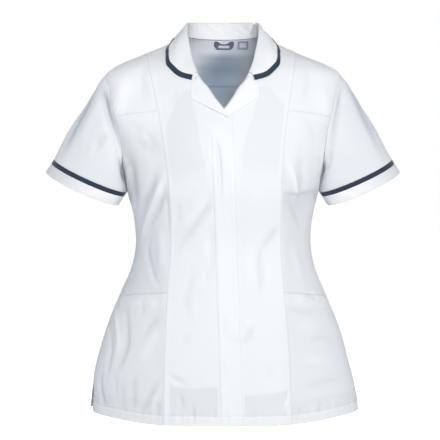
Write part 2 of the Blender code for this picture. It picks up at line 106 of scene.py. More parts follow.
def mix(a, b, t):
    return a + (b - a) * t


def ease(t):
    t = np.clip(t, 0.0, 1.0)
    return t * t * (3 - 2 * t)


def bell(x, width):
    return np.exp(-(x / width) ** 2)


def unit(v):
    return v / np.maximum(np.linalg.norm(v, axis=-1, keepdims=True), 1e-12)


def swing(a, b, leave, arrive, t):       # from a to b, starting and ending with the given slopes
    return mix(a, b, ease(t)) + leave * t * (1 - t) ** 2 + arrive * t * t * (t - 1)


def through(form, name):                 # a smooth curve through one row of a table
    order = np.argsort(form["z"])
    place, value = (np.array(form[row], float)[order] for row in ("z", name))
    step = np.diff(value) / np.diff(place)
    slope = np.concatenate((step[:1], (step[:-1] + step[1:]) / 2, step[-1:]))

    def at(z):
        z = np.clip(z, place[0], place[-1])
        i = np.clip(np.searchsorted(place, z, side="right") - 1, 0, len(place) - 2)
        span = place[i + 1] - place[i]
        return swing(value[i], value[i + 1], slope[i] * span, slope[i + 1] * span, (z - place[i]) / span)

    return at


def softLine(points, count=36):          # a smooth line through a few points
    points = np.array(points, float)
    slope = np.gradient(points, axis=0)
    t = np.linspace(0, len(points) - 1, count)
    i = np.minimum(t.astype(int), len(points) - 2)
    return swing(points[i], points[i + 1], slope[i], slope[i + 1], (t - i)[:, None])


halfWidth, frontDepth, backDepth, squareness = (through(bodyForm, name) for name in list(bodyForm)[1:])
princess = {side: through(princessForm, side) for side in sides}
neckHalf = through(neckForm, "halfWidth")


def onBody(angle, z):      # angle 0 is the middle of the front, 90 the wearer's left side, 180 the back
    angle, z = np.broadcast_arrays(np.asarray(angle, float), np.asarray(z, float))
    s, c = np.sin(np.radians(angle)), np.cos(np.radians(angle))
    power = 2 / squareness(z)
    depth = np.where(c > 0, frontDepth(z), backDepth(z))
    x = np.sign(s) * halfWidth(z) * np.abs(s) ** power
    y = -np.sign(c) * depth * np.abs(c) ** power
    return np.stack([x, y, z], -1)


def bodyNormal(angle, z):
    turn, rise = 0.6, 0.0006
    across = onBody(angle + turn, z) - onBody(angle - turn, z)
    up = onBody(angle, np.minimum(z + rise, 0.0)) - onBody(angle, np.maximum(z - rise, cut["hem"]))
    return unit(np.cross(across, up))


def frontAngle(x, z):
    share = np.minimum(np.abs(x) / halfWidth(z), 1.0)
    return np.sign(x) * np.degrees(np.arcsin(share ** (squareness(z) / 2)))


def onFront(x, z, out=0.0):
    angle = frontAngle(x, z)
    return onBody(angle, z) + bodyNormal(angle, z) * np.asarray(out)[..., None]


def crease(where, line, height, width, lean=0.0):
    # height over the cloth near a line: full in the middle of its length, and steeper on one side by lean
    near = np.full(where.shape[:-1], 1e9)
    found = np.zeros(near.shape, int)
    for i, point in enumerate(line):
        gap = np.sum((where - point) ** 2, -1)
        closer = gap < near
        near[closer], found[closer] = gap[closer], i
    along = found / (len(line) - 1)
    tangent = unit(np.gradient(line, axis=0))[found]
    side = np.sign(np.cross(tangent, where - line[found]) @ np.array([0.0, -1.0, 0.0]))
    taper = ease(along / 0.35) * ease((1 - along) / 0.35)
    return height * np.exp(-near / (width * (1 + lean * side)) ** 2) * (0.15 + 0.85 * taper)


def ripple(where, size, seed):           # a soft unevenness of that size, between about -1 and 1
    waves = np.random.default_rng(seed)
    total = np.zeros(where.shape[:-1])
    for _ in range(5):
        way = unit(waves.normal(size=3)) * (2 * math.pi / size) * waves.uniform(0.7, 1.4)
        total += np.sin(where @ way + waves.uniform(0, 6.28))
    return total / 3


# Each crease in millimetres: height (below 0 for a trough), width, how much steeper it is on one side, then
# x and z of the points that it runs through.
creases = {
    "rightSide": (
        (-5, 8, 0.2, -120, -253, -132, -282, -145, -310, -156, -343),
        (6, 6.5, 0, -106, -264, -119, -298, -134, -334, -152, -376),
        (-3, 5.5, 0, -102, -279, -113, -314, -130, -347, -146, -384),
        (-2.2, 4.5, 0, -102, -286, -99, -329, -99, -372), (2.6, 9, 0, -116, -354, -112, -397, -114, -444),
        (-2.8, 6, 0, -127, -361, -138, -398, -130, -434, -119, -460),
        (1.6, 5, 0, -138, -420, -130, -451, -115, -470), (-4, 15, 0, -175, -212, -166, -270, -160, -332),
        (-1.4, 9, 0, -161, -195, -139, -214, -120, -218), (1.2, 8, 0, -150, -177, -139, -199),
        (-1.5, 4, 0, -146, -486, -146, -519), (1.4, 7, 0, -128, -481, -128, -508),
        (-2.2, 8, 0.3, -116, -507, -133, -533, -149, -558), (2, 10, 0, -116, -532, -134, -568, -156, -604),
        (-3.6, 7, 0, -181, -490, -174, -535, -175, -570, -186, -599, -193, -617),
        (2.8, 6, 0, -202, -501, -193, -536, -190, -571, -199, -597),
        (-2.4, 6, 0, -211, -527, -204, -571, -209, -608, -212, -633),
        (-3, 6, 0, -219, -617, -224, -644, -220, -670, -211, -688), (-1.5, 5, 0, -195, -624, -192, -670),
        (-2.2, 7, 0, -159, -618, -161, -650, -159, -688),
        (-2.6, 6, 0, -112, -623, -128, -644, -141, -670, -144, -694),
        (2, 5, 0, -112, -637, -123, -662, -126, -697), (-1.5, 4.5, 0, -115, -654, -119, -693),
        (-1.4, 5, 0, -183, -634, -181, -693), (-1.6, 9, 0, -172, -166, -140, -190, -112, -222),
    ),
    "leftSide": (
        (-3, 20, -0.76, 100, -297, 138, -299, 184, -290),
        (2.6, 5.5, 0, 116, -232, 127, -260, 133, -293, 133, -314),
        (-2.4, 10, 0, 142, -217, 144, -264, 145, -296), (-1.4, 5, 0, 112, -241, 112, -293),
        (-2, 7, 0, 122, -311, 136, -340, 148, -365), (1.4, 10, 0, 125, -379, 136, -420, 143, -462),
        (-2, 4, 0, 140, -478, 158, -481, 175, -487), (2, 4, 0, 133, -487, 146, -486),
        (1.8, 4, 0, 160, -474, 172, -477), (-1.8, 6, 0, 116, -500, 142, -507, 180, -511),
        (1.3, 9, 0, 130, -529, 179, -539), (-1.6, 6, 0, 152, -562, 178, -558, 210, -567),
        (-1.6, 9, 0, 144, -638, 181, -635, 224, -635), (1.2, 8, 0, 137, -592, 193, -600),
        (-1.4, 5, 0, 122, -662, 122, -697), (-1.3, 4, 0, 136, -669, 134, -697),
        (1.2, 4, 0, 158, -667, 160, -695), (-1.3, 5, 0, 175, -665, 173, -693),
        (1.2, 5, 0, 200, -664, 197, -691),
    ),
    "rightFront": (
        (-3.4, 5.5, 0.2, -25, -295, -27, -318, -41, -341, -56, -362, -74, -382, -86, -404),
        (1.4, 9, 0, -38, -304, -52, -332, -74, -357), (-1.4, 5, 0, -79, -311, -81, -354),
        (-1.3, 5, 0, -22, -346, -20, -464), (1.2, 8, 0, -32, -354, -31, -418),
        (-1.4, 8, 0, -50, -414, -64, -471, -80, -510), (-1, 5, 0, -29, -425, -30, -471),
        (-1, 7, 0, -64, -475, -62, -527), (-1, 7, 0, -66, -543, -69, -570),
        (-1.8, 5, 0.3, -101, -616, -83, -624, -59, -636), (-1.4, 5, 0, -76, -643, -71, -674),
        (-1.9, 3.5, 0, -53, -657, -53, -706), (-1.3, 3.5, 0, -64, -688, -62, -706),
    ),
    "leftFront": (
        (-2.4, 9, 0, 104, -354, 86, -377, 70, -400), (-2.6, 5.5, 0, 70, -389, 66, -422, 69, -454, 62, -489),
        (1.4, 7, 0, 82, -411, 80, -468), (1.2, 9, 0, 46, -378, 48, -471),
        (-2.6, 4.5, 0, 55, -531, 44, -550, 32, -566), (1.2, 6, 0, 44, -517, 40, -538),
        (-1, 7, 0, 81, -594, 83, -633), (1.5, 3.5, 0, 119, -630, 120, -651, 109, -672, 106, -693),
    ),
    "placket": (
        (-2.6, 3.6, 0.4, -18, -196, -11, -219, -8, -258, -7, -322), (1, 5, 0, -27, -201, -18, -258),
        (-1.3, 1.8, 0, 2, -590, 2, -625), (-0.9, 4, 0, 2, -506, 2, -552), (-1, 5, 0, 5, -553, 32, -560),
        (0.9, 6, 0, 14, -212, 17, -300),
        (-2.2, 2.8, 0, -14, -197, -9.5, -217, -6, -245, -4.5, -280, -4.5, -318),
    ),
    "shoulders": (
        (5, 22, 0, -176, -70, -190, -118, -194, -172), (1.5, 16, 0, 172, -84, 184, -124, 186, -160),
        (-1.5, 9, 0, -141, -54, -147, -92, -139, -134), (-1.5, 9, 0, 152, -53, 154, -96, 146, -137),
        (-1, 8, 0, -85, -105, -92, -139), (-1.2, 9, 0, 139, -148, 161, -177, 173, -208),
    ),
    "back": (
        (-3, 9, 0, 150, -300, 90, -340, 30, -352), (-2.6, 8, 0.2, -156, -330, -100, -365, -45, -368),
        (2.2, 9, 0, 140, -326, 85, -366, 20, -380), (2, 8, 0, -140, -352, -90, -386, -40, -390),
        (-2.2, 8, 0, 120, -385, 60, -402, -20, -396), (-2, 8, 0, -110, -404, -60, -424, 0, -430),
        (-2.6, 10, 0, 160, -235, 120, -262, 70, -270), (-2.6, 10, 0, -162, -225, -118, -258, -80, -262),
        (-2.2, 11, 0, 130, -120, 122, -170, 128, -220), (-2.2, 11, 0, -132, -125, -126, -180, -134, -230),
        (-1.6, 10, 0, 30, -480, 45, -560, 50, -640), (-1.8, 10, 0, -60, -500, -75, -580, -80, -670),
        (-1.8, 9, 0, 120, -540, 134, -610, 140, -680), (-1.8, 9, 0, -150, -560, -160, -630, -166, -690),
        (1.5, 9, 0, -110, -540, -118, -610, -120, -670), (-1.4, 9, 0, -20, -110, -12, -170, -20, -230),
        (-0.9, 2.6, 0, -72, -215, -80, -330, -84, -410, -80, -500),
        (-0.9, 2.6, 0, 72, -215, 80, -330, 84, -410, 80, -500),
    ),
}
press = {
    "folds": 1.2,             # how strongly every crease shows
    "troughShade": 150.0,     # painted shade: how much darker a trough is, for each metre of its depth
    "reach": 0.006,           # over which a crease dies away at a princess seam
    "tilt": 0.0017,           # how far the side panels fall away beside the princess seams, and how soon
    "tiltReach": 0.020,
    "allowance": 0.0075,      # width and height of a seam's allowances, under the cloth
    "allowanceHeight": 0.0003,
    "uneven": ((0.0009, 0.130, 3), (0.00035, 0.048, 5)),      # height, size and seed
}


def creaseLines(group):
    for height, width, lean, *run in creases[group]:
        x, z = softLine(np.reshape(run, (-1, 2))).T / 1000
        angle = frontAngle(x, np.clip(z, cut["hem"], 0))
        line = onBody(180.0 - angle if group == "back" else angle, z)
        yield line, height / 1000, width / 1000, lean


creaseSets = {group: list(creaseLines(group)) for group in creases}


def pastPrincess(where):      # distance sideways from the princess seam, below 0 towards the middle
    x, z = where[..., 0], where[..., 2]
    return np.where(x < 0, -x - princess["right"](z), x - princess["left"](z))


def foldHeight(where):        # the creases alone
    past, folded = pastPrincess(where) / press["reach"], 0.0
    for group, lines in creaseSets.items():
        total = np.zeros(past.shape)
        for line, height, width, lean in lines:
            reach = 2.6 * width * (1 + abs(lean))
            inside = np.all((where > line.min(0) - reach) & (where < line.max(0) + reach), -1)
            if inside.any():
                total[inside] += crease(where[inside], line, height, width, lean)
        if group.endswith("Side"):          # these stop at the princess seam, from either side
            total = total * ease(past + 0.15)
        elif group.endswith("Front"):
            total = total * ease(0.15 - past)
        folded = folded + total * press["folds"]
    return folded


def torsoRelief(where, folded=None):        # how far the worn cloth stands off the smooth form
    z, past, atFront = where[..., 2], pastPrincess(where), where[..., 1] < 0
    relief = sum(height * ripple(where, size, seed) for height, size, seed in press["uneven"])
    relief = relief + (foldHeight(where) if folded is None else folded)
    # the side panels fall away from the princess seams, whose allowances lie towards the middle
    share = np.clip(past, 0, 1) / press["tiltReach"]
    relief = relief - press["tilt"] * share * np.exp(1 - share) * ease((-0.12 - z) / 0.12) * atFront
    lying = ease(-past / 0.001) * ease((past + press["allowance"]) / 0.0012)
    relief = relief + press["allowanceHeight"] * lying * atFront
    return relief * ease((-0.008 - z) / 0.03)         # nothing moves at the neck seam


def ventRelief(angle, z):     # the open side vent, and the other side that stands out a little
    drop = ease((cut["ventTop"] + 0.012 - z) / 0.050)
    right = bell(angle + 90, 16.0) * (angle > -90.001)
    left = bell(angle - 90, 22.0) * ease((-0.600 - z) / 0.080)
    return -cut["ventBack"] * drop * right + cut["ventStand"] * left


def hang(points):             # the hem hangs a little below its level, and rises towards the side seams
    drop = cut["hemDrop"] - cut["hemRise"] * ease((np.abs(points[..., 0]) - 0.10) / 0.16)
    points[..., 2] -= drop * ease((-0.580 - points[..., 2]) / 0.10)
    return points


def gradedSteps(length, cell, marks=()):
    # shares from 0 to 1: small steps beside both ends and beside each marked line
    start = np.array((0.0, 0.0006, 0.0016, 0.0032))
    finish = length - start[::-1]
    count = max(2, round((finish[0] - start[-1]) / cell))
    steps = np.concatenate((start, np.linspace(start[-1], finish[0], count + 1)[1:-1], finish))
    for mark in marks:
        near = mark + np.array((-0.0034, -0.0022, -0.0013, -0.0006, 0.0, 0.0006, 0.0013, 0.0022, 0.0034))
        steps = np.concatenate((steps[np.abs(steps - mark) > 0.0045], near))
    return np.sort(steps) / length


def gridNormals(points, closed=False):
    across = np.roll(points, -1, 1) - np.roll(points, 1, 1) if closed else np.gradient(points, axis=1)
    return unit(np.cross(across, -np.gradient(points, axis=0)))


def arcs(points, axis):       # distance along the rows or columns of a grid
    step = np.linalg.norm(np.diff(points, axis=axis), axis=-1)
    return np.cumsum(np.insert(step, 0, 0.0, axis), axis)


def link(name, data):
    made = bpy.data.objects.new(name, data)
    bpy.context.collection.objects.link(made)
    return made


def wall(name, points, normals, thickness, finish, closed, shadeAndBorderLevels, shade, flat):
    # a closed wall round a grid; columns run left to right as seen from outside, rows run down
    rows, cols = points.shape[:2]
    count = rows * cols
    half, shade, shadeAndBorderLevels = (np.broadcast_to(part, (rows, cols)).ravel() for part in
                           (np.asarray(thickness) / 2, shade, shadeAndBorderLevels))
    half, middle, facing = half[:, None], points.reshape(-1, 3), normals.reshape(-1, 3)
    index = np.arange(count).reshape(rows, cols)
    if closed:
        index = np.concatenate((index, index[:, :1]), 1)
        borders = [index[0, ::-1], index[-1]]
    else:
        borders = [np.concatenate((index[0, ::-1], index[1:, 0], index[-1, 1:], index[-2::-1, -1]))]
    quads = np.stack([index[:-1, :-1], index[1:, :-1], index[1:, 1:], index[:-1, 1:]], -1).reshape(-1, 4)
    coords = [middle + facing * half, middle - facing * half]
    faces = [quads, quads[:, ::-1] + count]
    source = [np.arange(count), np.arange(count)]
    # painted shade on the inner faces, half of it on the rim
    inside = [0.0 * shade, shade]
    base = 2 * count
    for border in borders:        # the rim: one more line of points half way through the wall
        edge = border[:-1]
        onward = middle[np.roll(edge, -1)] - middle[np.roll(edge, 1)]
        out = unit(np.cross(onward, facing[edge]))
        rim = base + np.arange(len(edge))
        nextEdge, nextRim = np.roll(edge, -1), np.roll(rim, -1)
        coords.append(middle[edge] + out * half[edge] * 0.7)
        faces.append(np.stack([rim, nextRim, nextEdge, edge], -1))
        faces.append(np.stack([edge + count, nextEdge + count, nextRim, rim], -1))
        source.append(edge)
        inside.append(0.5 * shade[edge])
        base += len(edge)
    coords, faces, source, inside = (np.concatenate(part) for part in (coords, faces, source, inside))

    mesh = bpy.data.meshes.new(name)
    mesh.vertices.add(len(coords))
    mesh.vertices.foreach_set("co", coords.astype(np.float32).ravel())
    mesh.loops.add(faces.size)
    mesh.loops.foreach_set("vertex_index", faces.astype(np.int32).ravel())
    mesh.polygons.add(len(faces))
    mesh.polygons.foreach_set("loop_start", np.arange(0, faces.size, 4, dtype=np.int32))
    mesh.update(calc_edges=True)
    mesh.validate()
    uv = np.stack([arcs(flat, 1), -arcs(flat, 0)], -1).reshape(-1, 2)[source]
    corner = np.empty(len(mesh.loops), np.int32)
    mesh.loops.foreach_get("vertex_index", corner)
    mesh.uv_layers.new(name="clothGrain").data.foreach_set("uv", uv[corner].astype(np.float32).ravel())
    # painted shade and light, or a tape's border, and the painted shade of the inner faces
    for attribute, values in (("paintedShadeAndBorder", shadeAndBorderLevels[source]), ("inside", inside)):
        mesh.attributes.new(attribute, "FLOAT", "POINT").data.foreach_set("value", values.astype(np.float32))
    mesh.materials.append(finish)
    mesh.shade_smooth()
    return link(name, mesh)


def flatSize(points):         # width, length and area of the cut, before it was creased
    width, length = arcs(points, 1)[:, -1].max(), arcs(points, 0)[-1].max()
    down, across = points[1:, :-1] - points[:-1, :-1], points[:-1, 1:] - points[:-1, :-1]
    area = np.linalg.norm(np.cross(down, across), axis=-1).sum()
    return width, length, min(area, width * length)


class Wire:                   # one output of a node, with arithmetic that adds Math nodes
    def __init__(self, web, socket):
        self.web, self.socket = web, socket

    def math(self, operation, *values):
        return self.web.node("ShaderNodeMath", {"operation": operation}, dict(enumerate(values)))

    def __add__(self, other):
        return self.math("ADD", self, other)

    def __radd__(self, other):
        return self.math("ADD", other, self)

    def __mul__(self, other):
        return self.math("MULTIPLY", self, other)

    def __rmul__(self, other):
        return self.math("MULTIPLY", other, self)

    def sine(self):
        return self.math("SINE", self)


class Web:                    # a node tree, and the one way in which nodes are added to it
    def __init__(self, tree):
        self.tree = tree

    def node(self, kind, settings=None, inputs=None, output=0):
        made = self.tree.nodes.new(kind)
        for name, value in (settings or {}).items():
            setattr(made, name, value)
        for key, value in (inputs or {}).items():
            self.feed(made.inputs[key], value)
        return Wire(self, made.outputs[output]) if output is not None else made

    def feed(self, socket, value):
        if isinstance(value, Wire):
            self.tree.links.new(value.socket, socket)
        else:
            socket.default_value = value


class Finish(Web):            # a material round its Principled shader
    def __init__(self, name, **constants):
        self.material = bpy.data.materials.new(name)
        self.material.use_nodes = True
        super().__init__(self.material.node_tree)
        self.shader = self.tree.nodes["Principled BSDF"].inputs
        for socket, value in constants.items():
            self.feed(self.shader[socket.replace("_", " ")], value)

    def blendColours(self, share, a, b, clamp=True):
        settings = {"data_type": "RGBA", "clamp_factor": clamp}
        return self.node("ShaderNodeMix", settings, {0: share, 6: a, 7: b}, output=2)

    def noise(self, where, scale, detail):
        return self.node("ShaderNodeTexNoise", None, {"Vector": where, "Scale": scale, "Detail": detail})

    def mark(self, name):
        return self.node("ShaderNodeAttribute", {"attribute_name": name}, output=2)

    def grain(self):          # u across the cloth and v down it, in metres
        uv = self.node("ShaderNodeUVMap", {"uv_map": "clothGrain"})
        return uv, [self.node("ShaderNodeSeparateXYZ", None, {0: uv}, output=i) for i in (0, 1)]

    def place(self):
        return self.node("ShaderNodeTexCoord", output=3)

    def paint(self, colour):
        self.feed(self.shader["Base Color"], colour)

    def bump(self, height, strength):
        inputs = {"Height": height, "Strength": strength, "Distance": 1.0}
        self.feed(self.shader["Normal"], self.node("ShaderNodeBump", None, inputs))


clothLook = {
    "thread": 0.00042,
    "white": (0.880, 0.885, 0.895, 1),
    "cool": (0.860, 0.870, 0.890, 1),
    "paintedShadeAndBorder": (0.735, 0.755, 0.785, 1),       # painted shade: one layer that hangs clear of the wearer, or a place in shadow
    "innerFaceLight": (0.860, 0.895, 0.945, 1),      # the inner face, painted as lit through the cloth
    "inside": (0.240, 0.310, 0.400, 1),      # deep inside, where little light comes
}


def whiteCloth():             # plain-weave polyester and cotton, matt
    look = clothLook
    finish = Finish("whiteCloth", Roughness=0.82, Sheen_Weight=0.10, Sheen_Roughness=0.45,
                    Specular_IOR_Level=0.22)
    uv, (u, v) = finish.grain()
    where = finish.place()
    turns = 2 * math.pi / look["thread"]
    weave = (u * turns).sine() * (v * turns).sine()
    slub = finish.noise(uv, 900.0, 1.0)
    cloudy = finish.noise(where, 9.0, 3.0)
    colour = finish.blendColours(cloudy, look["white"], look["cool"])
    # painted shade where the mark is above 0, painted light where it is below 0
    colour = finish.blendColours(finish.mark("paintedShadeAndBorder"), colour, look["paintedShadeAndBorder"], clamp=False)
    # painted cool light on all inner faces, and painted deep shade where the mark is high
    inner = finish.mark("inside")
    colour = finish.blendColours(inner * 40.0, colour, look["innerFaceLight"])
    finish.paint(finish.blendColours(inner, colour, look["inside"]))
    finish.feed(finish.shader["Roughness"], 0.78 + 0.08 * cloudy)
    crumple = finish.noise(where, 55.0, 3.0)
    finish.bump(weave * 0.00006 + slub * 0.00010 + crumple * 0.0009, 0.5)
    return finish.material


def navyEdging():             # bias-cut twill
    look = {"rib": 0.0009, "dark": (0.020, 0.034, 0.060, 1), "worn": (0.036, 0.055, 0.088, 1)}
    finish = Finish("navyEdging", Roughness=0.8, Sheen_Weight=0.30, Sheen_Roughness=0.4, Specular_IOR_Level=0.3)
    _, (u, v) = finish.grain()
    twill = ((u + v) * (2 * math.pi / look["rib"])).sine()
    fluff = finish.noise(finish.place(), 60.0, 3.0)
    finish.paint(finish.blendColours(fluff, look["dark"], look["worn"]))
    finish.bump(twill * 0.00008 + fluff * 0.0003, 0.6)
    return finish.material


def wovenTape(name, thread, border):       # a plain pale face, and a border in another tone where it is marked
    finish = Finish(name, Roughness=0.6, Sheen_Weight=0.15, Specular_IOR_Level=0.4)
    _, (u, v) = finish.grain()
    turns = 2 * math.pi / thread
    satin = (u * turns).sine() * (v * (turns / 3)).sine()
    patchy = finish.noise(finish.place(), 120.0, 2.0)
    face = finish.blendColours(patchy, (0.70, 0.76, 0.84, 1), (0.62, 0.68, 0.77, 1))
    finish.paint(finish.blendColours(finish.mark("paintedShadeAndBorder"), face, border))
    finish.bump(satin * 0.00006, 0.6)
    return finish.material


def threadFinish(name, colour, shade):
    finish = Finish(name, Roughness=0.55, Sheen_Weight=0.2)
    finish.paint(finish.blendColours(finish.noise(finish.place(), 1500.0, 1.0), colour, shade))
    return finish.material


white, navy = whiteCloth(), navyEdging()
slate = wovenTape("slateTape", 0.0006, (0.130, 0.165, 0.215, 1))
tape = wovenTape("paleTape", 0.0005, (0.34, 0.40, 0.49, 1))
whiteThread = threadFinish("whiteThread", (0.86, 0.87, 0.88, 1), (0.74, 0.76, 0.79, 1))
navyThread = threadFinish("navyThread", (0.030, 0.045, 0.075, 1), (0.015, 0.022, 0.040, 1))
print("materials made")


# proud is how far the middle of a stitch lies over the cloth, as a share of its thickness
stitching = {"pitch": 0.0028, "length": 0.0023, "thickness": 0.00032, "proud": 0.2, "seed": 5}


def makeStitchTree():         # beads in a row along each line
    tree = bpy.data.node_groups.new("stitchRun", "GeometryNodeTree")
    named = {}
    for name, kind in (("lines", "Geometry"), ("pitch", "Float"), ("length", "Float"), ("thickness", "Float"),
                       ("thread", "Material")):
        socket = tree.interface.new_socket(name, in_out="INPUT", socket_type="NodeSocket" + kind)
        named[name] = socket.identifier
    tree.interface.new_socket("stitches", in_out="OUTPUT", socket_type="NodeSocketGeometry")
    web = Web(tree)
    lines, pitch, length, thickness, thread = (web.node("NodeGroupInput", output=i) for i in range(5))
    curve = web.node("GeometryNodeMeshToCurve", None, {0: lines})
    dots = web.node("GeometryNodeResampleCurve", {"mode": "LENGTH"}, {"Curve": curve, "Length": pitch})
    way = web.node("GeometryNodeInputTangent")
    turned = web.node("FunctionNodeAlignRotationToVector", {"axis": "Z"}, {"Vector": way})
    uneven = web.node("FunctionNodeRandomValue", {"data_type": "FLOAT"},
                      {2: 0.88, 3: 1.04, "Seed": stitching["seed"]}, output=1)
    bead = web.node("GeometryNodeMeshUVSphere", None, {"Segments": 6, "Rings": 4, "Radius": 0.5})
    size = web.node("ShaderNodeCombineXYZ", None, {0: thickness, 1: thickness, 2: length * uneven})
    laid = web.node("GeometryNodeInstanceOnPoints", None,
                    {"Points": dots, "Instance": bead, "Rotation": turned, "Scale": size})
    solid = web.node("GeometryNodeRealizeInstances", None, {0: laid})
    smooth = web.node("GeometryNodeSetShadeSmooth", None, {0: solid})
    coloured = web.node("GeometryNodeSetMaterial", None, {"Geometry": smooth, "Material": thread})
    web.node("NodeGroupOutput", None, {0: coloured}, output=None)
    return tree, named


stitchTree, stitchInputs = makeStitchTree()


def sew(name, runs, thread):
    edges, base = [], 0
    for run in runs:
        edges += [(base + i, base + i + 1) for i in range(len(run) - 1)]
        base += len(run)
    lines = bpy.data.meshes.new(name + "Lines")
    lines.from_pydata(np.concatenate(runs).tolist(), edges, [])
    holder = link(name + "Lines", lines)
    modifier = holder.modifiers.new("stitchRun", "NODES")
    modifier.node_group = stitchTree
    for key in ("pitch", "length", "thickness"):
        modifier[stitchInputs[key]] = stitching[key]
    modifier[stitchInputs["thread"]] = thread
    shown = bpy.data.meshes.new_from_object(holder.evaluated_get(bpy.context.evaluated_depsgraph_get()))
    holder.modifiers.clear()
    bpy.data.objects.remove(holder)
    shown.name = name
    return link(name, shown)


def lineOver(surface, field, value, axis):
    # the line over a grid where field, which rises along the axis, reaches value
    if axis == 0:
        surface, field = surface.transpose(1, 0, 2), field.T
    line = []
    for row, rising in zip(surface, field):
        at = np.interp(value, rising, np.arange(len(rising)))
        low = min(int(at), len(row) - 2)
        line.append(mix(row[low], row[low + 1], at - low))
    return np.array(line)


def lineBeside(surface, side, inset):        # a line at an even distance from one edge of a grid
    axis = 1 if side in ("left", "right") else 0
    field = arcs(surface, axis)
    if side in ("right", "bottom"):
        field = field - (field[:, -1:] if axis == 1 else field[-1:])
        inset = -inset
    return lineOver(surface, field, inset, axis)


def ringBeside(surface, side, inset):
    line = lineBeside(surface, side, inset)
    return np.concatenate((line, line[:1]))


namedOtherwise = {"backPanel": "back", "collarCloth": "collar"}      # the others have their node's name
cutList = []


def makeSheet(name, points, flat, thickness, finish=white, held="folded", slot="cloth", closed=False,
              shadeAndBorderLevels=0.0, shade=0.3, runs=None, thread=whiteThread, above=0.0):
    # a piece of cloth round a grid, with its stitches, and the grid before it was creased for its flat size
    facing = gridNormals(points, closed)
    piece = wall(name, points, facing, thickness, finish, closed, shadeAndBorderLevels, shade, flat)
    stitches = []
    if runs:                  # the lines of its stitches, over the face that they show on
        surface = points + facing * (np.asarray(thickness) / 2 + above)[..., None]
        stitches = [sew(name + "Stitches", runs(surface), thread)]
    node = namedOtherwise.get(name) or "".join("_" + c.lower() if c.isupper() else c for c in name)
    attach(piece, "root")
    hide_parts(node)
    for seam in stitches:
        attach(seam, "root")
    width, length, area = flatSize(np.concatenate((flat, flat[:, :1]), 1) if closed else flat)
    cutList.append((name, round(width, 3), round(length, 3), round(area, 4)))


def sideEdge(sign, z, back=False):     # angle of the side seam, the armhole's edge or the vent's edge
    along = (2 * z - cut["shoulderTip"] - cut["underarm"]) / (cut["shoulderTip"] - cut["underarm"])
    arm = cut["armholeReach"] * np.sqrt(np.clip(1 - along * along, 0, 1))
    vent = cut["ventOpen"] * ease((cut["ventTop"] - z) / (cut["ventTop"] - cut["hem"]))
    reach = np.where(z < cut["ventTop"], vent, arm)
    return sign * (90.0 + reach if back else 90.0 - reach)


def princessEdge(side, z):
    sign, seam = sides[side], princess[side](z)
    return np.where(halfWidth(z) <= seam, sign * 90.0, frontAngle(sign * seam, z))


placket = {
    "top": -0.158,
    "half": 0.020,            # of its width
    "middleTop": -0.003,      # where its middle is, at its top and at the hem
    "middleHem": 0.015,
    "underlap": 0.016,        # how far the left front runs on past that middle
    "ease": 0.035,            # over which the left front sinks to pass under the right one
    "stitchLine": 0.0015,     # from the placket's inner edge
    "share": 0.70,            # of the way across the right front, where its stitches lie in the grid
    "groove": 0.0007,         # of its stitches, and the roll of cloth beside them
    "roll": 0.0005,
    "edgeRise": 0.0006,       # how its free edge swells and then turns down
    "edgeFall": 0.0005,
}


def placketMiddle(z):
    return mix(placket["middleTop"], placket["middleHem"], (z - placket["top"]) / (cut["hem"] - placket["top"]))


def acrossPlacket(angle, z):
    return onBody(angle, z)[..., 0] - placketMiddle(z)


def levels(top, bottom, angles, cell, marks=()):
    # heights from top to bottom, an even distance apart along the cloth, and finer at each end and at marks,
    # which are distances from the top, or from the bottom where they are below 0
    z = np.linspace(top, bottom, 400)        # fine enough to measure along
    step = np.max([np.linalg.norm(np.diff(onBody(angle, z), axis=0), axis=-1) for angle in angles], 0)
    run = np.concatenate(([0.0], np.cumsum(step)))
    marks = [mark if mark > 0 else run[-1] + mark for mark in marks]
    return np.interp(gradedSteps(run[-1], cell, marks) * run[-1], run, z)


def panelGrid(zFirst, zLast, first, last, width, cell=cut["cell"], inner=None):
    # heights at the left and right edges as seen from outside, and the angles of those edges; inner is a line
    # between them that a column of the grid follows: its share across, and its angle
    u = gradedSteps(width, cell, [inner[0] * width] if inner else [])[None, :]
    z = mix(zFirst[:, None], zLast[:, None], u)
    if not inner:
        return mix(first(z), last(z), u), z
    share, between = inner
    left = mix(first(z), between(z), np.minimum(u / share, 1))
    return np.where(u < share, left, mix(between(z), last(z), (u - share) / (1 - share))), z


def fromSeams(points, seams):      # distance from the nearest of the chosen borders
    across, down = arcs(points, 1), arcs(points, 0)
    fromEdge = {"left": across, "right": across[:, -1:] - across, "top": down, "bottom": down[-1:] - down}
    return np.min([np.ones(points.shape[:2])] + [fromEdge[name] for name in seams], 0)


def overHem(z):                    # height over the hem's stitches
    return z - cut["hem"] - cut["hemTurn"]


# Painted shade: how much darker the cloth looks at each of these places; painted light: how much whiter where
# it is doubled.
paintedTone = {"seam": 0.75, "hemStitches": 0.30, "yokeSeam": 0.25, "placketEdge": 0.9, "placketStitches": 0.6,
        "underMouth": 1.1, "side": 0.20, "overHem": 0.42, "doubledPlacket": 0.20, "doubledSeam": 0.12}


def seamShade(points, z, seams):        # the shadow in a seam, and in the furrow of the hem's stitches
    furrow = paintedTone["hemStitches"] * bell(overHem(z), 0.0010)
    return paintedTone["seam"] * bell(fromSeams(points, seams), 0.0011) + furrow


# Painted shade: how much darker (below 0) the side panels are, at a few levels down from the neck; painted
# light: how much lighter the wearer's right shoulder is, and the front under each arm.
paintedSideTone = {
    "shoulder": 0.45,
    "underArm": 1.2,
    "down":  (0.235, 0.300, 0.360, 0.410, 0.460, 0.500, 0.620, 0.650, 0.700),
    "right": (0.00, -0.25, -0.45, -0.80, -0.75, -0.40, -0.25, -0.40, -0.40),
    "left":  (0.00, -0.50, -0.60, -0.60, -0.50, -0.40, -0.27, -0.27, -0.27),
}


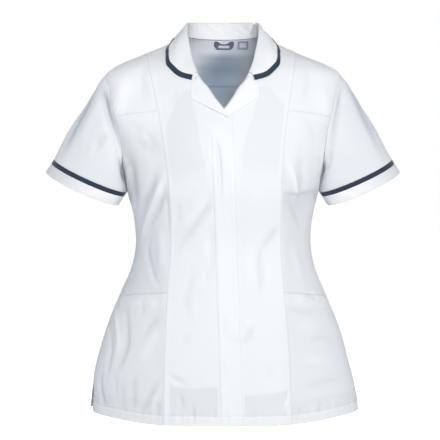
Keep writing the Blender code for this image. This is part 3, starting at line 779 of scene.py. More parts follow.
def paintedLightAndShade(where, folded):       # how much lighter it is painted: painted light on the ridges, painted shade below 0 in the troughs
    x, z = where[..., 0], where[..., 2]
    shoulder = paintedSideTone["shoulder"] * ease((-0.085 - x) / 0.05) * ease((z + 0.215) / 0.06)
    right = np.interp(-z, paintedSideTone["down"], paintedSideTone["right"]) * ease((-0.095 - x) / 0.02)
    left = np.interp(-z, paintedSideTone["down"], paintedSideTone["left"]) * ease((x - 0.100) / 0.02)
    left = left * ease((halfWidth(z) - x) / 0.045)
    underArm = paintedSideTone["underArm"] * ease((np.abs(x) - 0.155) / 0.03)
    underArm = underArm * ease((-0.175 - z) / 0.06) * ease((z + 0.29) / 0.04)
    atFront = where[..., 1] < 0.02
    return np.clip(press["troughShade"] * folded, -0.9, 0.5) + (shoulder + right + left + underArm) * atFront


def seamRoll(points, seams):            # the cloth rolls down into its seams, with short puckers beside them
    near = fromSeams(points, seams)
    return cut["seamDip"] * (0.4 * ripple(points, 0.011, 17) * np.exp(-near / 0.006) - bell(near, 0.0018))


hemBand = {"proud": 0.0003, "pucker": 0.0009, "furrow": 0.0006}


def hemRelief(points, z):
    # the hem's doubled band: a little proud, with short puckers from its stitches
    over, pull = overHem(z), points * np.array([1.0, 1.0, 0.15])
    puckers = (ripple(pull, 0.017, 23) + 0.6 * ripple(pull, 0.0095, 29)) * np.exp(-np.abs(over) / 0.011)
    band = hemBand["proud"] * ease(-over / 0.002) - hemBand["furrow"] * bell(over, 0.0016)
    return band + hemBand["pucker"] * puckers


def torsoPiece(name, angle, z, seams, thickness, paintedShadeAndBorder=0.0, extra=0.0, held="draped", **more):
    smooth, normals = onBody(angle, z), bodyNormal(angle, z)
    folded = foldHeight(smooth)
    relief = torsoRelief(smooth, folded) + ventRelief(angle, z) + hemRelief(smooth, z)
    relief = relief + seamRoll(smooth, seams) + extra
    points = smooth + normals * relief[..., None]
    drawn = points.copy()                # away from the borders, by half of the gap at a seam
    for edge, inner in ((0, 1), (-1, -2)):
        drawn[:, edge] += unit(points[:, inner] - points[:, edge]) * cut["seamGap"] / 2
        drawn[edge] += unit(points[inner] - points[edge]) * cut["seamGap"] / 2
    # painted shade and painted light on the cloth: single cloth, seams, troughs and ridges
    dark = paintedShadeAndBorder + seamShade(smooth, z, seams) - paintedLightAndShade(smooth, folded)
    makeSheet(name, hang(drawn), smooth, thickness, held=held, shadeAndBorderLevels=dark,
              above=stitching["proud"] * stitching["thickness"], **more)


def doubledHem(z):
    return mix(cut["cloth"], cut["doubled"], ease(-overHem(z) / 0.003))


def hemRuns(surface, *vents):      # the stitches of the hem, and of the vents at the borders named
    lines = [lineBeside(surface, side, cut["ventTurn"]) for side in vents]
    lines = [line[line[:, 2] < cut["ventTop"] + 0.004] for line in lines]
    return [lineBeside(surface, "bottom", cut["hemTurn"])] + lines


def seamRun(surface):              # a row of stitches just over a seam
    return [lineBeside(surface, "bottom", 0.002)]


# Painted shade on the inside of the back neck, how dark: rows down (z in mm), columns across (x in mm).
neckDark = {
    "x": (-55, -40, -25, -12, 0, 14, 27, 40, 54),
    -5: (0, 0, 0, 0, 0.10, 0.10, 0.10, 0, 0),
    -18: (0, 0, 0, 0.12, 0.32, 0.38, 0.38, 0.34, 0.05),
    -34: (0.15, 0.40, 0.66, 0.84, 0.92, 0.90, 0.82, 0.66, 0.30),
    -53: (0.40, 0.75, 0.92, 1.00, 1.00, 0.97, 0.85, 0.58, 0.25),
    -76: (0.55, 0.82, 0.88, 0.92, 0.86, 0.74, 0.55, 0.32, 0.15),
    -99: (0.50, 0.72, 0.82, 0.84, 0.80, 0.70, 0.50, 0.30, 0.12),
    -135: (0.30,) * 9,
}


def neckShade(where):
    # painted shade inside the back, and a painted shadow line at the yoke seam
    x, z = where[..., 0] * 1000, where[..., 2] * 1000
    down = list(neckDark)[1:]
    across = [np.interp(x, neckDark["x"], neckDark[level]) for level in down]
    shade = across[0]
    for upper, lower, rowAbove, rowBelow in zip(down, down[1:], across, across[1:]):
        shade = np.where(z < upper, mix(rowAbove, rowBelow, ease((upper - z) / (upper - lower))), shade)
    shade = np.maximum(mix(shade, 0.3, ease((np.abs(x) - 60) / 30)), 0.03)
    return shade + paintedTone["yokeSeam"] * bell(where[..., 2] - cut["yokeSeam"], 0.0011)


def makeBack():
    size = {"width": 0.56, "cell": 0.0035}
    parts = (("backYoke", -0.0004, cut["yokeSeam"], (), "bottom", seamRun),
             ("backPanel", cut["yokeSeam"], cut["hem"], (-cut["hemTurn"],), "top",
              lambda surface: hemRuns(surface, "left", "right")))
    for name, top, bottom, marks, sewn, runs in parts:
        rows = levels(top, bottom, (110, 150, 180), size["cell"], marks)
        angle, z = panelGrid(rows, rows, lambda z: -sideEdge(-1, z, True), lambda z: 360 - sideEdge(1, z, True),
                             size["width"], size["cell"])
        torsoPiece(name, angle, z, ("left", "right", sewn), doubledHem(z), shade=neckShade(onBody(angle, z)),
                   runs=runs)


def underPlacket(angle, z):      # how far the left front sinks to pass under the right one
    past = acrossPlacket(angle, z) - placket["half"]
    return -cut["layer"] * (1 - ease(past / placket["ease"])) * ease((cut["neckFoot"] + 0.012 - z) / 0.014)


def centreEdge(side, z):         # the neck line, then the placket's edge or the underlap
    neck = frontAngle(sides[side] * neckHalf(z), z)
    past = placket["half"] if side == "right" else -placket["underlap"]
    return mix(neck, frontAngle(placketMiddle(z) + past, z), ease((-0.150 - z) / 0.009))


# Outlines (x, z in millimetres) inside which one layer hangs clear of the wearer and painted shade stands for
# the shade behind it, between the neck facing and the princess seams and over the hem: how much, how soft, and
# where the lower end fades.
seeThroughShadeZones = {
    "right": (
        (0.38, 2.2, (-245, -290), ((-67, -109), (-83, -133), (-100, -168), (-104, -196), (-101, -236),
                                   (-98, -292), (-32, -292), (-32, -240), (-41, -206), (-45, -170),
                                   (-60, -109))),
        (0.60, 1.6, None, ((-94, -630), (-88, -634), (-50, -637), (-9, -634), (-9, -690), (-94, -690))),
    ),
    "left": (
        (0.38, 2.2, (-230, -282), ((64, -104), (84, -104), (97, -122), (111, -136), (109, -169),
                                   (105, -200), (104, -284), (33, -284), (33, -231), (39, -196),
                                   (50, -170), (57, -137))),
        (0.55, 1.6, None, ((38, -648), (77, -646), (117, -641), (108, -662), (114, -690), (38, -690))),
    ),
}


def zoneMask(x, z, corners, soft):       # 1 inside the outline, 0 outside it
    gap, within = np.full(x.shape, 1e9), np.zeros(x.shape, bool)
    for (ax, az), (bx, bz) in zip(corners, corners[1:] + corners[:1]):
        t = np.clip(((x - ax) * (bx - ax) + (z - az) * (bz - az)) / ((bx - ax) ** 2 + (bz - az) ** 2), 0, 1)
        gap = np.minimum(gap, np.hypot(x - mix(ax, bx, t), z - mix(az, bz, t)))
        if az != bz:
            within ^= ((az > z) != (bz > z)) & (x < ax + (z - az) * (bx - ax) / (bz - az))
    return ease(0.5 + np.where(within, gap, -gap) / (2 * soft))


def frontPaintedShade(side, where):
    x, z, paintedShadeAndBorder = where[..., 0] * 1000, where[..., 2] * 1000, 0.0
    for strength, soft, fade, corners in seeThroughShadeZones[side]:
        zone = strength * zoneMask(x, z, corners, soft)
        if fade:
            zone = zone * ease((z - fade[1]) / (fade[0] - fade[1]))
        paintedShadeAndBorder = np.maximum(paintedShadeAndBorder, zone)
    past = pastPrincess(where)
    allowance = ease(-past / 0.001) * ease((past + press["allowance"]) / 0.0015)
    # the hem itself is doubled and gets no painted shade; the seam's allowances are doubled too, and are
    # painted lighter
    single = paintedShadeAndBorder * ease(overHem(where[..., 2]) / 0.0015) * (1 - 0.5 * allowance)
    return single - paintedTone["doubledSeam"] * allowance


def sidePaintedShade(where):
    # painted shade on the side panels below the bust, and in a band over the hem
    z = where[..., 2]
    low = paintedTone["overHem"] * ease((-0.655 - z) / 0.006)
    return np.maximum(paintedTone["side"] * ease((-0.25 - z) / 0.05), low) * ease(overHem(z) / 0.0015)


def bandStitch(z, first, last):
    # angle of the placket's stitches, and above them of a line that leads down to them
    stitched = frontAngle(placketMiddle(z) - placket["half"] + placket["stitchLine"], z)
    return mix(mix(first(z), last(z), placket["share"]), stitched, ease((-0.120 - z) / 0.050))


def stitchedDown(angle, z):      # the placket's band: a groove at its stitches, a rounded free edge
    across = acrossPlacket(angle, z)
    fromStitch, fromEdge = across + placket["half"] - placket["stitchLine"], placket["half"] - across
    groove = placket["roll"] * bell(fromStitch - 0.005, 0.004) - placket["groove"] * bell(fromStitch, 0.0016)
    edge = placket["edgeRise"] * bell(fromEdge - 0.004, 0.003) - placket["edgeFall"] * bell(fromEdge, 0.0016)
    return groove * ease((placket["top"] - 0.030 - z) / 0.03) + edge * ease((placket["top"] - z) / 0.01)


def makeCentreFronts():
    size = {"right": 0.135, "left": 0.130, "cell": 0.0024}
    rows = levels(-0.0014, cut["hem"], (0, 50, 88), size["cell"], (-cut["hemTurn"],))
    for side, sign in sides.items():
        right = side == "right"
        edges = (lambda z: princessEdge(side, z), lambda z: centreEdge(side, z))
        inner = (placket["share"], lambda z: bandStitch(z, *edges)) if right else None
        angle, z = panelGrid(rows, rows, *edges[::-sign], size[side], size["cell"], inner)
        where, across = onBody(angle, z), acrossPlacket(angle, z)
        fromStitch = across + placket["half"] - placket["stitchLine"]
        paintedShadeAndBorder = frontPaintedShade(side, where)
        if right:      # between its stitches and its edge the cloth is doubled, and is painted whiter; painted shadow lies along its edge and in the furrow of its stitches
            band = ease(fromStitch / 0.002) * ease((placket["top"] - 0.002 - z) / 0.045)
            edge = bell(fromSeams(where, ("right",)), 0.0010) * ease((placket["top"] - z) / 0.004)
            furrow = bell(fromStitch, 0.0011) * ease((placket["top"] - 0.030 - z) / 0.01)
            paintedShadeAndBorder = paintedShadeAndBorder - paintedTone["doubledPlacket"] * band
            paintedShadeAndBorder = paintedShadeAndBorder + paintedTone["placketEdge"] * edge + paintedTone["placketStitches"] * furrow

        def runs(surface):
            hem, = hemRuns(surface)
            if not right:
                return [hem[hem[:, 0] > placketMiddle(cut["hem"]) + placket["half"] + 0.002]]
            band = lineOver(surface, fromStitch, 0.0, 1)
            return [hem, band[(band[:, 2] < placket["top"] - 0.034) & (band[:, 2] > cut["hem"] + 0.002)]]

        torsoPiece("centreFront" + side.capitalize(), angle, z, ("left" if right else "right", "top"),
                   doubledHem(z), paintedShadeAndBorder, stitchedDown(angle, z) if right else underPlacket(angle, z), runs=runs)


def makePlacket():
    # the folded flap behind the right front, which hides the fastening and stops just short of its edge
    size = {"thickness": 0.0005, "behind": 0.0010, "short": 0.0006}
    rows, half = levels(placket["top"], cut["hem"], (0,), cut["cell"]), placket["half"]
    angle, z = panelGrid(rows, rows, lambda z: frontAngle(placketMiddle(z) - half, z),
                         lambda z: frontAngle(placketMiddle(z) + half - size["short"], z), 2 * half)
    torsoPiece("flyPlacket", angle, z, (), size["thickness"], extra=stitchedDown(angle, z) - size["behind"],
               held="folded")


def topMeeting(side):      # height where a princess seam meets the shoulder seam
    low, high = cut["shoulderTip"], 0.0
    for _ in range(40):
        middle = (low + high) / 2
        low, high = (middle, high) if halfWidth(middle) > princess[side](middle) else (low, middle)
    return low


pocket = {
    "cell": 0.0024,
    "hem": 0.021,             # of its mouth, turned in
    "hemWall": 0.0004,        # how much thicker the cloth is there
    # where the mouth stands a little open: x, width and height
    "gape": {"right": ((-0.150, 0.016, 0.0008),), "left": ((0.146, 0.011, 0.0030), (0.168, 0.010, 0.0016))},
    "wrinkle": 0.0007,        # short ones under the mouth
    "furrow": 0.0005,
    "proud": 0.0003,
}


def pocketGape(side, where, down, turned):
    lift = sum(height * bell(where[..., 0] - place, width) for place, width, height in pocket["gape"][side])
    wrinkle = pocket["wrinkle"] * ripple(where * np.array([1.0, 1.0, 0.22]), 0.020, 41) * np.exp(-down / 0.10)
    fold = pocket["proud"] - pocket["furrow"] * bell(down - turned, 0.007)
    return lift * bell(down, 0.085) + np.maximum(wrinkle, -0.0004) * ease(down / 0.02) + fold


def makeSideFronts():
    size = {"top": 0.10, "lower": 0.145}      # widths
    chest, mouth, hem = cut["chestSeam"], cut["pocketMouth"], (cut["hem"],) * 2      # at both side edges

    def shares(top, bottom, cell=cut["cell"], marks=()):      # of the way down
        return (levels(top, bottom, (60, 88), cell, marks) - top) / (bottom - top)

    def grid(width, cell, *runs):      # each run is its shares down, and the levels at its top and bottom
        z = [np.concatenate([mix(top[i], bottom[i], t) for t, top, bottom in runs]) for i in (0, 1)]
        edges = [lambda z: princessEdge(side, z), lambda z: sideEdge(sign, z)]
        return panelGrid(*z[::sign], *edges[::sign], width, cell)

    for side, sign in sides.items():
        # upper side front: from the shoulder seam to the chest seam
        apex = topMeeting(side) - 0.0006
        angle, z = grid(size["top"], cut["cell"], (shares(apex, chest[0]), (apex, apex), chest))
        torsoPiece("sideFrontTop" + side.capitalize(), angle, z, ("top", "bottom", "left", "right"),
                   cut["cloth"], runs=seamRun)

        # lower side front, which passes behind the pocket
        above, behind = shares(chest[0], mouth[0]), shares(mouth[0], hem[0], marks=(-cut["hemTurn"],))[1:]
        angle, z = grid(size["lower"], cut["cell"], (above, chest, mouth), (behind, mouth, hem))
        down = np.concatenate((above - 1, behind))[:, None] + 0 * z
        # painted shadow just above the pocket's mouth
        underMouth = paintedTone["underMouth"] * bell(down * (chest[0] - mouth[0]), 0.0022)
        torsoPiece("sideFront" + side.capitalize(), angle, z, ("top", "left", "right"), cut["cloth"],
                   sidePaintedShade(onBody(angle, z)) + underMouth, -cut["layer"] * ease((down + 0.004) / 0.010))

        # patch pocket
        t = shares(mouth[0], hem[0], pocket["cell"], (pocket["hem"], -cut["hemTurn"]))
        angle, z = grid(size["lower"], pocket["cell"], (t, mouth, hem))
        where, down = onBody(angle, z), t[:, None] + 0 * z
        turned = pocket["hem"] / (mouth[0] - hem[0])      # the share that its own hem takes up
        thickness = cut["cloth"] + pocket["hemWall"] * ease((turned - down) / 0.008)
        torsoPiece("pocket" + side.capitalize(), angle, z, ("left", "right"), thickness,
                   sidePaintedShade(where) * ease((down - turned) / 0.01), pocketGape(side, where, down, turned),
                   runs=lambda surface: [lineBeside(surface, "top", pocket["hem"])]
                   + hemRuns(surface, "right" if sign > 0 else "left"))


makeBack()
makeCentreFronts()
makePlacket()
makeSideFronts()
print("torso made")


sleeve = {
    "end": np.array((0.2483, 0.0076, -0.2601)),        # middle of the oval where the edging starts
    "cuffEnd": np.array((0.2640, 0.0123, -0.2838)),    # middle of the cuff's open edge
    "leave": (0.62, 0.0, -0.78),
    "swell": 0.17,
    "halfWidth": 0.0745,
    "halfDepth": 0.0560,
    "slant": 24.5,
    "lean": 9.0,
    "edging": 0.0093,
    "tuck": 0.0020,                          # of the edging, under the sleeve and under the cuff
    "clear": (0.0016, 0.0007),               # sideways from the armhole, at the underarm and at the shoulder
    "seamUnder": (0.0045, 0.0030, 0.0016),   # rows of the sleeve inside the armhole seam, and how deep they lie
    "seamDeep": (0.0019, 0.0018, 0.0014),
    "length": 0.155,
    "columns": 152,
    # painted shade over all of each sleeve
    "shade": {"right": 0.30, "left": 0.50},
    "uneven": {"right": 61, "left": 67},     # seeds
    "gather": 0.0005,                        # height of the puckers at the armhole
    "wave": 0.0005,                          # and of the unevenness of the edging and the cuff
    "cuffShade": (0.80, -0.75),              # painted shade on its outer side, painted light on the rest
}


def sleeveOval(centre, turn, sign):
    slant, lean = math.radians(sleeve["slant"]), math.radians(sleeve["lean"])
    outward = np.array([math.cos(slant), 0.0, math.sin(slant)])
    forward = np.array([0.0, -math.cos(lean), -math.sin(lean)])
    turn = np.radians(turn)[..., None]
    point = centre + outward * sleeve["halfWidth"] * np.cos(turn) + forward * sleeve["halfDepth"] * np.sin(turn)
    return point * np.array([sign, 1.0, 1.0])


def armhole(turn, sign, under=0.0):      # angle and level of the body's edge, or of a line inside the seam
    s, c = np.sin(np.radians(turn)), np.cos(np.radians(turn))
    reach = cut["armholeReach"] + math.degrees(under / 0.2)
    return sign * (90.0 - reach * s), mix(cut["underarm"], cut["shoulderTip"], (1 + c) / 2) + c * under


def atArmhole(turn, sign, under, deep):      # points of the form there, and how the cloth stands off them
    angle, z = armhole(turn, sign, under)
    where = onBody(angle, z)
    return where, bodyNormal(angle, z) * (torsoRelief(where) - deep)[..., None]


def sleevePoint(turn, t, sign):      # turn 0 is the shoulder tip, 90 the front, 180 the underarm
    turn, t = np.broadcast_arrays(turn, t)
    s, c, mirror = np.sin(np.radians(turn)), np.cos(np.radians(turn)), np.array([sign, 1, 1])
    start = onBody(*armhole(turn, sign))
    start[..., 0] += sign * mix(*sleeve["clear"], (1 + c) / 2)
    end = sleeveOval(sleeve["end"], turn, sign)
    reach = np.linalg.norm(end - start, axis=-1, keepdims=True)
    leave = unit(sleeve["leave"] * mirror + np.stack([0 * s, -s, c], -1) * sleeve["swell"]) * reach
    arrive = unit((sleeve["cuffEnd"] - sleeve["end"]) * mirror) * reach
    return swing(start, end, leave, arrive, t[..., None])


# Creases of a sleeve: height and width (mm), then the turn (degrees from the shoulder tip, forwards) and the
# share of the way down of each of its points.
sleeveCreases = {
    "right": (
        (-8, 7, 34, 0.1, 51, 0.11, 69, 0.105, 86, 0.1, 99, 0.105, 118, 0.1),
        (-3, 4.5, 96, 0.06, 122, 0.08, 146, 0.12), (3, 9, 43, 0.14, 52, 0.29, 52, 0.51, 56, 0.72),
        (-3.5, 9, 28, 0.14, 27, 0.4, 25, 0.66, 32, 0.92), (-2.6, 5.5, 92, 0.15, 88, 0.37, 84, 0.53, 82, 0.69),
        (2.2, 10, 106, 0.2, 116, 0.46, 124, 0.75), (-2.5, 5, 148, 0.04, 155, 0.4, 162, 0.78),
        (-4.5, 24, 0, 0.04, 0, 0.32, 0, 0.62), (2, 26, 0, 0.5, 0, 0.8, 0, 1.15),
        (-3, 10, 250, 0.12, 264, 0.48, 262, 0.86), (-2.4, 8, 310, 0.18, 300, 0.55, 306, 0.92),
        (5, 16, 196, 0.15, 202, 0.5, 200, 1),
    ),
    "left": (
        (-2.5, 9, 28, 0.1, 31, 0.4, 33, 0.66, 31, 0.9),
        (-5.5, 6, 34, 0.06, 58, 0.09, 80, 0.1, 98, 0.14, 114, 0.22), (-2, 5, 118, 0.22, 136, 0.34, 150, 0.6),
        (1.8, 14, 66, 0.38, 84, 0.58, 92, 0.82), (-4, 22, 0, 0.08, 0, 0.32, 0, 0.56),
        (-3, 10, 254, 0.14, 266, 0.5, 268, 0.9), (-2.2, 8, 312, 0.15, 304, 0.6, 310, 0.95),
        (5, 16, 196, 0.15, 202, 0.5, 200, 1),
    ),
}
# Painted shade where a sleeve turns away from the light, beside the armhole, along its outer side and along its
# inner edge beside the body: strength and width, then as above.
sleeveShades = {
    "right": (
        (1.5, 9.5, 30, 0.12, 46, 0.1, 64, 0.065, 82, 0.05, 104, 0.045, 130, 0.05),
        (1.8, 11, 12, 0.1, 26, 0.3, 29, 0.5, 30, 0.72, 36, 0.92), (0.6, 6, 90, 0.26, 86, 0.4, 84, 0.56),
        (3.6, 13, 158, 0.1, 163, 0.4, 166, 0.75, 168, 1.3),
    ),
    "left": (
        (1.1, 5, 28, 0.03, 48, 0.05, 70, 0.065, 90, 0.09, 112, 0.18, 142, 0.38),
        (1.7, 11, 6, 0.04, 24, 0.22, 31, 0.44, 31, 0.64, 34, 0.92),
        (1.8, 18, 160, 0.1, 165, 0.4, 168, 0.75, 170, 1.3),
    ),
}


def sleeveMarks(where, side, table, scale):
    total = 0.0
    for height, width, *run in table[side]:
        turn, t = softLine(np.reshape(run, (-1, 2))).T
        total = total + crease(where, sleevePoint(turn, t, sides[side]), height * scale, width / 1000)
    return total


def makeSleeves():
    for side, sign in sides.items():
        turn = (np.arange(sleeve["columns"]) * 360.0 / sleeve["columns"])[None, ::-sign]
        t = gradedSteps(sleeve["length"], 0.0028)[:, None]
        down = t * sleeve["length"]
        smooth = sleevePoint(turn, t, sign)
        relief = 0.0010 * ripple(smooth, 0.100, sleeve["uneven"][side]) + 0.0003 * ripple(smooth, 0.04, 71)
        relief = relief + sleeveMarks(smooth, side, sleeveCreases, 0.001)
        relief = relief * ease(t / 0.045) * (0.25 + 0.75 * ease((1 - t) / 0.12))
        relief = relief - cut["seamDip"] * bell(sleeve["length"] - down, 0.0016)
        gather = ripple(smooth, 0.013, 73) * np.exp(-down / 0.010)
        relief = relief + sleeve["gather"] * gather * ease((np.cos(np.radians(turn)) + 0.3) / 0.6)
        # its upper rows follow the body's edge at the armhole, and three more lie inside the seam
        lift = atArmhole(turn, sign, 0.0, 0.0005)[1] * (1 - ease(t / 0.15))[..., None]
        points = smooth + gridNormals(smooth, True) * relief[..., None] + lift
        under = np.concatenate([sum(atArmhole(turn, sign, *row))
                                for row in zip(sleeve["seamUnder"], sleeve["seamDeep"])])
        # painted shade: over the whole sleeve, where it turns from the light, and a shadow line at the armhole
        # seam
        dark = sleeve["shade"][side] + sleeveMarks(smooth, side, sleeveShades, 1.0) + 0.8 * bell(down, 0.0014)
        dark = np.concatenate((np.repeat(dark[:1], len(under), 0), dark))
        makeSheet("sleeve" + side.capitalize(), np.concatenate((under, points)),
                  np.concatenate((under, smooth)), cut["cloth"], held="draped", closed=True, shadeAndBorderLevels=dark,
                  runs=lambda surface: [ringBeside(surface, "bottom", 0.0022)])
        makeSleeveEnds(side, turn, (points[-1] - smooth[-1])[None])


def makeSleeveEnds(side, turn, rim):
    tuck, edging, length = sleeve["tuck"], sleeve["edging"], np.linalg.norm(sleeve["cuffEnd"] - sleeve["end"])
    parts = (("sleeveEdge", "edging", -tuck, edging + tuck, 0.0014, navy, cut["cloth"], None),
             ("cuff", "cloth", edging + cut["seamGap"], length, 0.0026, white, cut["doubled"],
              lambda surface: [ringBeside(surface, "top", 0.0016)]))
    for name, slot, start, end, cell, finish, thickness, runs in parts:
        place = mix(start, end, gradedSteps(end - start, cell))[:, None]
        share = place / length
        ring = sleeveOval(mix(sleeve["end"], sleeve["cuffEnd"], share)[:, None, :], turn, sides[side])
        if name == "cuff":
            dip = -0.0004 * (bell(place - start, 0.0010) + bell(end - place, 0.0010))
            shadeAndBorderLevels = mix(*sleeve["cuffShade"], ease((turn - 40) / 80))
        else:                 # both edges of the edging are sewn in under the sleeve and the cuff
            sewnIn = 1 - ease((place + 0.0003) / 0.0008) * ease((edging + 0.0003 - place) / 0.0008)
            dip, shadeAndBorderLevels = 0.0003 - 0.0015 * sewnIn, 0.0
        wave = sleeve["wave"] * ripple(ring, 0.030, 79) * ease(share)
        lifted = ring + gridNormals(ring, True) * (dip + wave)[..., None]
        lifted = lifted + rim * (1 - 0.8 * np.clip(share, 0, 1))[..., None]
        makeSheet(name + side.capitalize(), lifted, ring, thickness, finish, slot=slot, closed=True,
                  shadeAndBorderLevels=shadeAndBorderLevels, runs=runs)


makeSleeves()
print("sleeves made")


# From the middle of the back (station 0) round the side (3) to the notch (7), wearer's left.
collarForm = {
    "z":         (0, 1, 2, 3, 4, 5, 6, 7),       # the stations
    "seamZ":     (0, 0, 0, 0, -0.022, -0.042, -0.062, -0.079),
    "rollX":     (0.0000, 0.0355, 0.0585, 0.0650, 0.0650, 0.0615, 0.0555, 0.0460),
    "rollY":     (0.0665, 0.0560, 0.0320, 0.0010, -0.0220, -0.0440, -0.0640, -0.0840),
    "rollZ":     (0.0340, 0.0330, 0.0290, 0.0220, 0.0040, -0.0260, -0.0550, -0.0775),
    "edgeAngle": (180.0, 150.0, 119.0, 75.0, 41.9, 27.8, 21.1, 14.8),
    "edgeZ":     (-0.0240, -0.0229, -0.0178, -0.0133, -0.0388, -0.0655, -0.0828, -0.0904),
    "swell":     (0.0020, 0.0020, 0.0015, 0.0005, 0.0020, 0.0035, 0.0035, 0.0025),
}
collar = {
    "air": 0.0022,            # from the fronts to the collar's free edge
    "roll": 0.0022,           # radius of the fold
    "lift": 0.0011,           # over the neck seam
    "edging": 0.0078,         # how wide the navy edging shows, its thickness, and how far it wraps behind
    "tape": 0.0007,
    "wrap": 0.0030,
    "side": 3.0,              # the stations at the side of the neck and at the notch
    "notch": 7.0,
}
collarAt = {name: through(collarForm, name) for name in collarForm}


def collarRoll(station):
    return np.stack([collarAt[name](station) for name in ("rollX", "rollY", "rollZ")], -1)


def collarSection(station, rows):
    # folded sections from the neck seam over the roll to the edge, wearer's left
    z, angle, edgeZ = (collarAt[name](station) for name in ("seamZ", "edgeAngle", "edgeZ"))
    onTop = onBody(180.0 - 90.0 * station / collar["side"], 0.0)
    seam = np.where((station <= collar["side"])[:, None], onTop, onFront(neckHalf(z), z))
    roll, near = collarRoll(station), 0.2
    edge = onBody(angle, edgeZ) + bodyNormal(angle, edgeZ) * collar["air"]
    along = collarRoll(np.minimum(station + near, collar["notch"])) - collarRoll(np.maximum(station - near, 0))
    up = unit(roll - seam)
    out = unit(np.cross(up, along))
    standTop = roll - up * collar["roll"]
    fallTop = standTop + out * (2 * collar["roll"])
    swell = collarAt["swell"](station)[:, None]
    stand = [mix(seam + up * collar["lift"], standTop, t) for t in np.linspace(0, 1, 7)]
    turned = [roll + (out * (1 - math.cos(a)) + up * (math.sin(a) - 1)) * collar["roll"]
              for a in np.radians((30, 60, 90, 120, 150))]
    fall = [mix(fallTop, edge, t) + out * (swell * 4 * t * (1 - t)) for t in np.linspace(0, 1, 13)]
    knots = np.stack(stand + turned + fall)
    run = np.cumsum(np.linalg.norm(np.diff(knots, axis=0, prepend=knots[:1]), axis=-1).mean(1))
    at = rows * run[-1]
    i = np.clip(np.searchsorted(run, at, side="right") - 1, 0, len(run) - 2)
    return mix(knots[i], knots[i + 1], ((at - run[i]) / (run[i + 1] - run[i]))[:, None, None])


# Soft creases across the collar: height and width (mm), then station (below 0 on the wearer's right) and share
# of the way from the neck seam to the edge.
collarCreases = (
    (-2.2, 3.2, 0.55, 0.04, -0.35, 0.16, -1.1, 0.34), (1.6, 3.6, 0.15, 0.03, -0.75, 0.16, -1.5, 0.32),
    (-1.4, 3.2, 1.25, 0.05, 0.65, 0.15, 0.1, 0.3), (-2, 4, 1.9, 0.06, 1.35, 0.14, 1, 0.22),
    (-2.8, 4.5, 1.5, 0.1, 1.9, 0.26, 2.2, 0.4), (1.6, 3.6, 1.75, 0.06, 2.15, 0.22, 2.5, 0.36),
    (-1.8, 4, 1.9, 0.34, 2.3, 0.48, 2.8, 0.64), (-1.6, 6, 2.4, 0.5, 3.4, 0.66, 4.4, 0.84),
    (-1.4, 6, -2.6, 0.52, -3.6, 0.68, -4.6, 0.84), (1, 7, 3.6, 0.55, 5.2, 0.75), (1, 7, -3.6, 0.55, -5.2, 0.75),
    (-1.2, 5, 5.2, 0.5, 6, 0.72), (-1.2, 5, -5, 0.5, -6, 0.74), (-1.4, 7, -0.9, 0.55, -0.2, 0.75, 0.5, 0.92),
)


def makeCollar():
    shares = gradedSteps(0.110, 0.0022)
    stations = np.linspace(-collar["notch"], collar["notch"], 221)[::-1]      # wearer's left first
    smooth = collarSection(np.abs(stations), shares)
    smooth[:, stations < 0, 0] *= -1
    relief = 0.0004 * ripple(smooth, 0.045, 83)
    for height, width, *run in collarCreases:
        station, share = softLine(np.reshape(run, (-1, 2))).T
        column = np.interp(station, stations[::-1], np.arange(len(stations))[::-1])
        row = np.interp(share, shares, np.arange(len(shares)))
        line = smooth[np.round(row).astype(int), np.round(column).astype(int)]
        relief += crease(smooth, line, height / 1000, width / 1000)
    quiet = ease(shares / 0.08) * (0.35 + 0.65 * ease((1 - shares) / 0.10))
    points = smooth + gridNormals(smooth) * (relief * quiet[:, None])[..., None]
    # painted shade on its inner face, and painted light, as it is doubled
    makeSheet("collarCloth", points, smooth, cut["doubled"], shade=0.12, shadeAndBorderLevels=-0.40)

    # navy edging, wrapped round the collar's edge
    facing = gridNormals(points)
    lift = cut["doubled"] / 2 + 0.0003 + collar["tape"] / 2
    fromEdge = arcs(points, 0) - arcs(points, 0)[-1:]
    lines = [lineOver(points, fromEdge, back, 0) + unit(lineOver(facing, fromEdge, back, 0)) * lift
             for back in np.linspace(-collar["edging"], 0, 6)[:-1]]
    edge, out, down = points[-1], facing[-1], unit(points[-1] - points[-4])
    lines += [edge + out * (lift * math.cos(turn)) + down * (lift * math.sin(turn))
              for turn in np.radians(np.linspace(0, 180, 7))]
    band = np.stack(lines + [edge - out * lift - down * collar["wrap"]])
    makeSheet("collarEdge", band, band, collar["tape"], navy, slot="edging", thread=navyThread,
              runs=lambda surface: [lineBeside(surface, "top", 0.0011)])


# Lapels from the notch to the foot of the V: x and z of the fold, then of the free edge.
lapelForm = {
    "right": ((-0.0470, -0.0795, -0.0550, -0.0905), (-0.0372, -0.0945, -0.0568, -0.1085),
              (-0.0275, -0.1060, -0.0585, -0.1255), (-0.0140, -0.1262, -0.0270, -0.1420),
              (0.0062, -0.1524, 0.0100, -0.1610)),
    "left": ((0.0470, -0.0795, 0.0575, -0.0905), (0.0380, -0.0945, 0.0625, -0.1065),
             (0.0285, -0.1060, 0.0650, -0.1215), (0.0166, -0.1258, 0.0370, -0.1410),
             (-0.0040, -0.1534, 0.0080, -0.1590)),
}
lapel = {
    "rise": 0.0034,           # how far it stands off the front at the fold, at its free edge and at its top
    "rest": 0.0019,
    "low": 0.0009,
    "overlap": {"right": 0.0012, "left": -0.0010},      # at the foot of the V
    "under": (0.0060, 0.0040, 0.0020),                  # how far its upper rows run on under the collar
    "doubled": {"right": -0.25, "left": -0.35},         # painted light: how much whiter the doubled cloth looks
    "rows": 44,
}


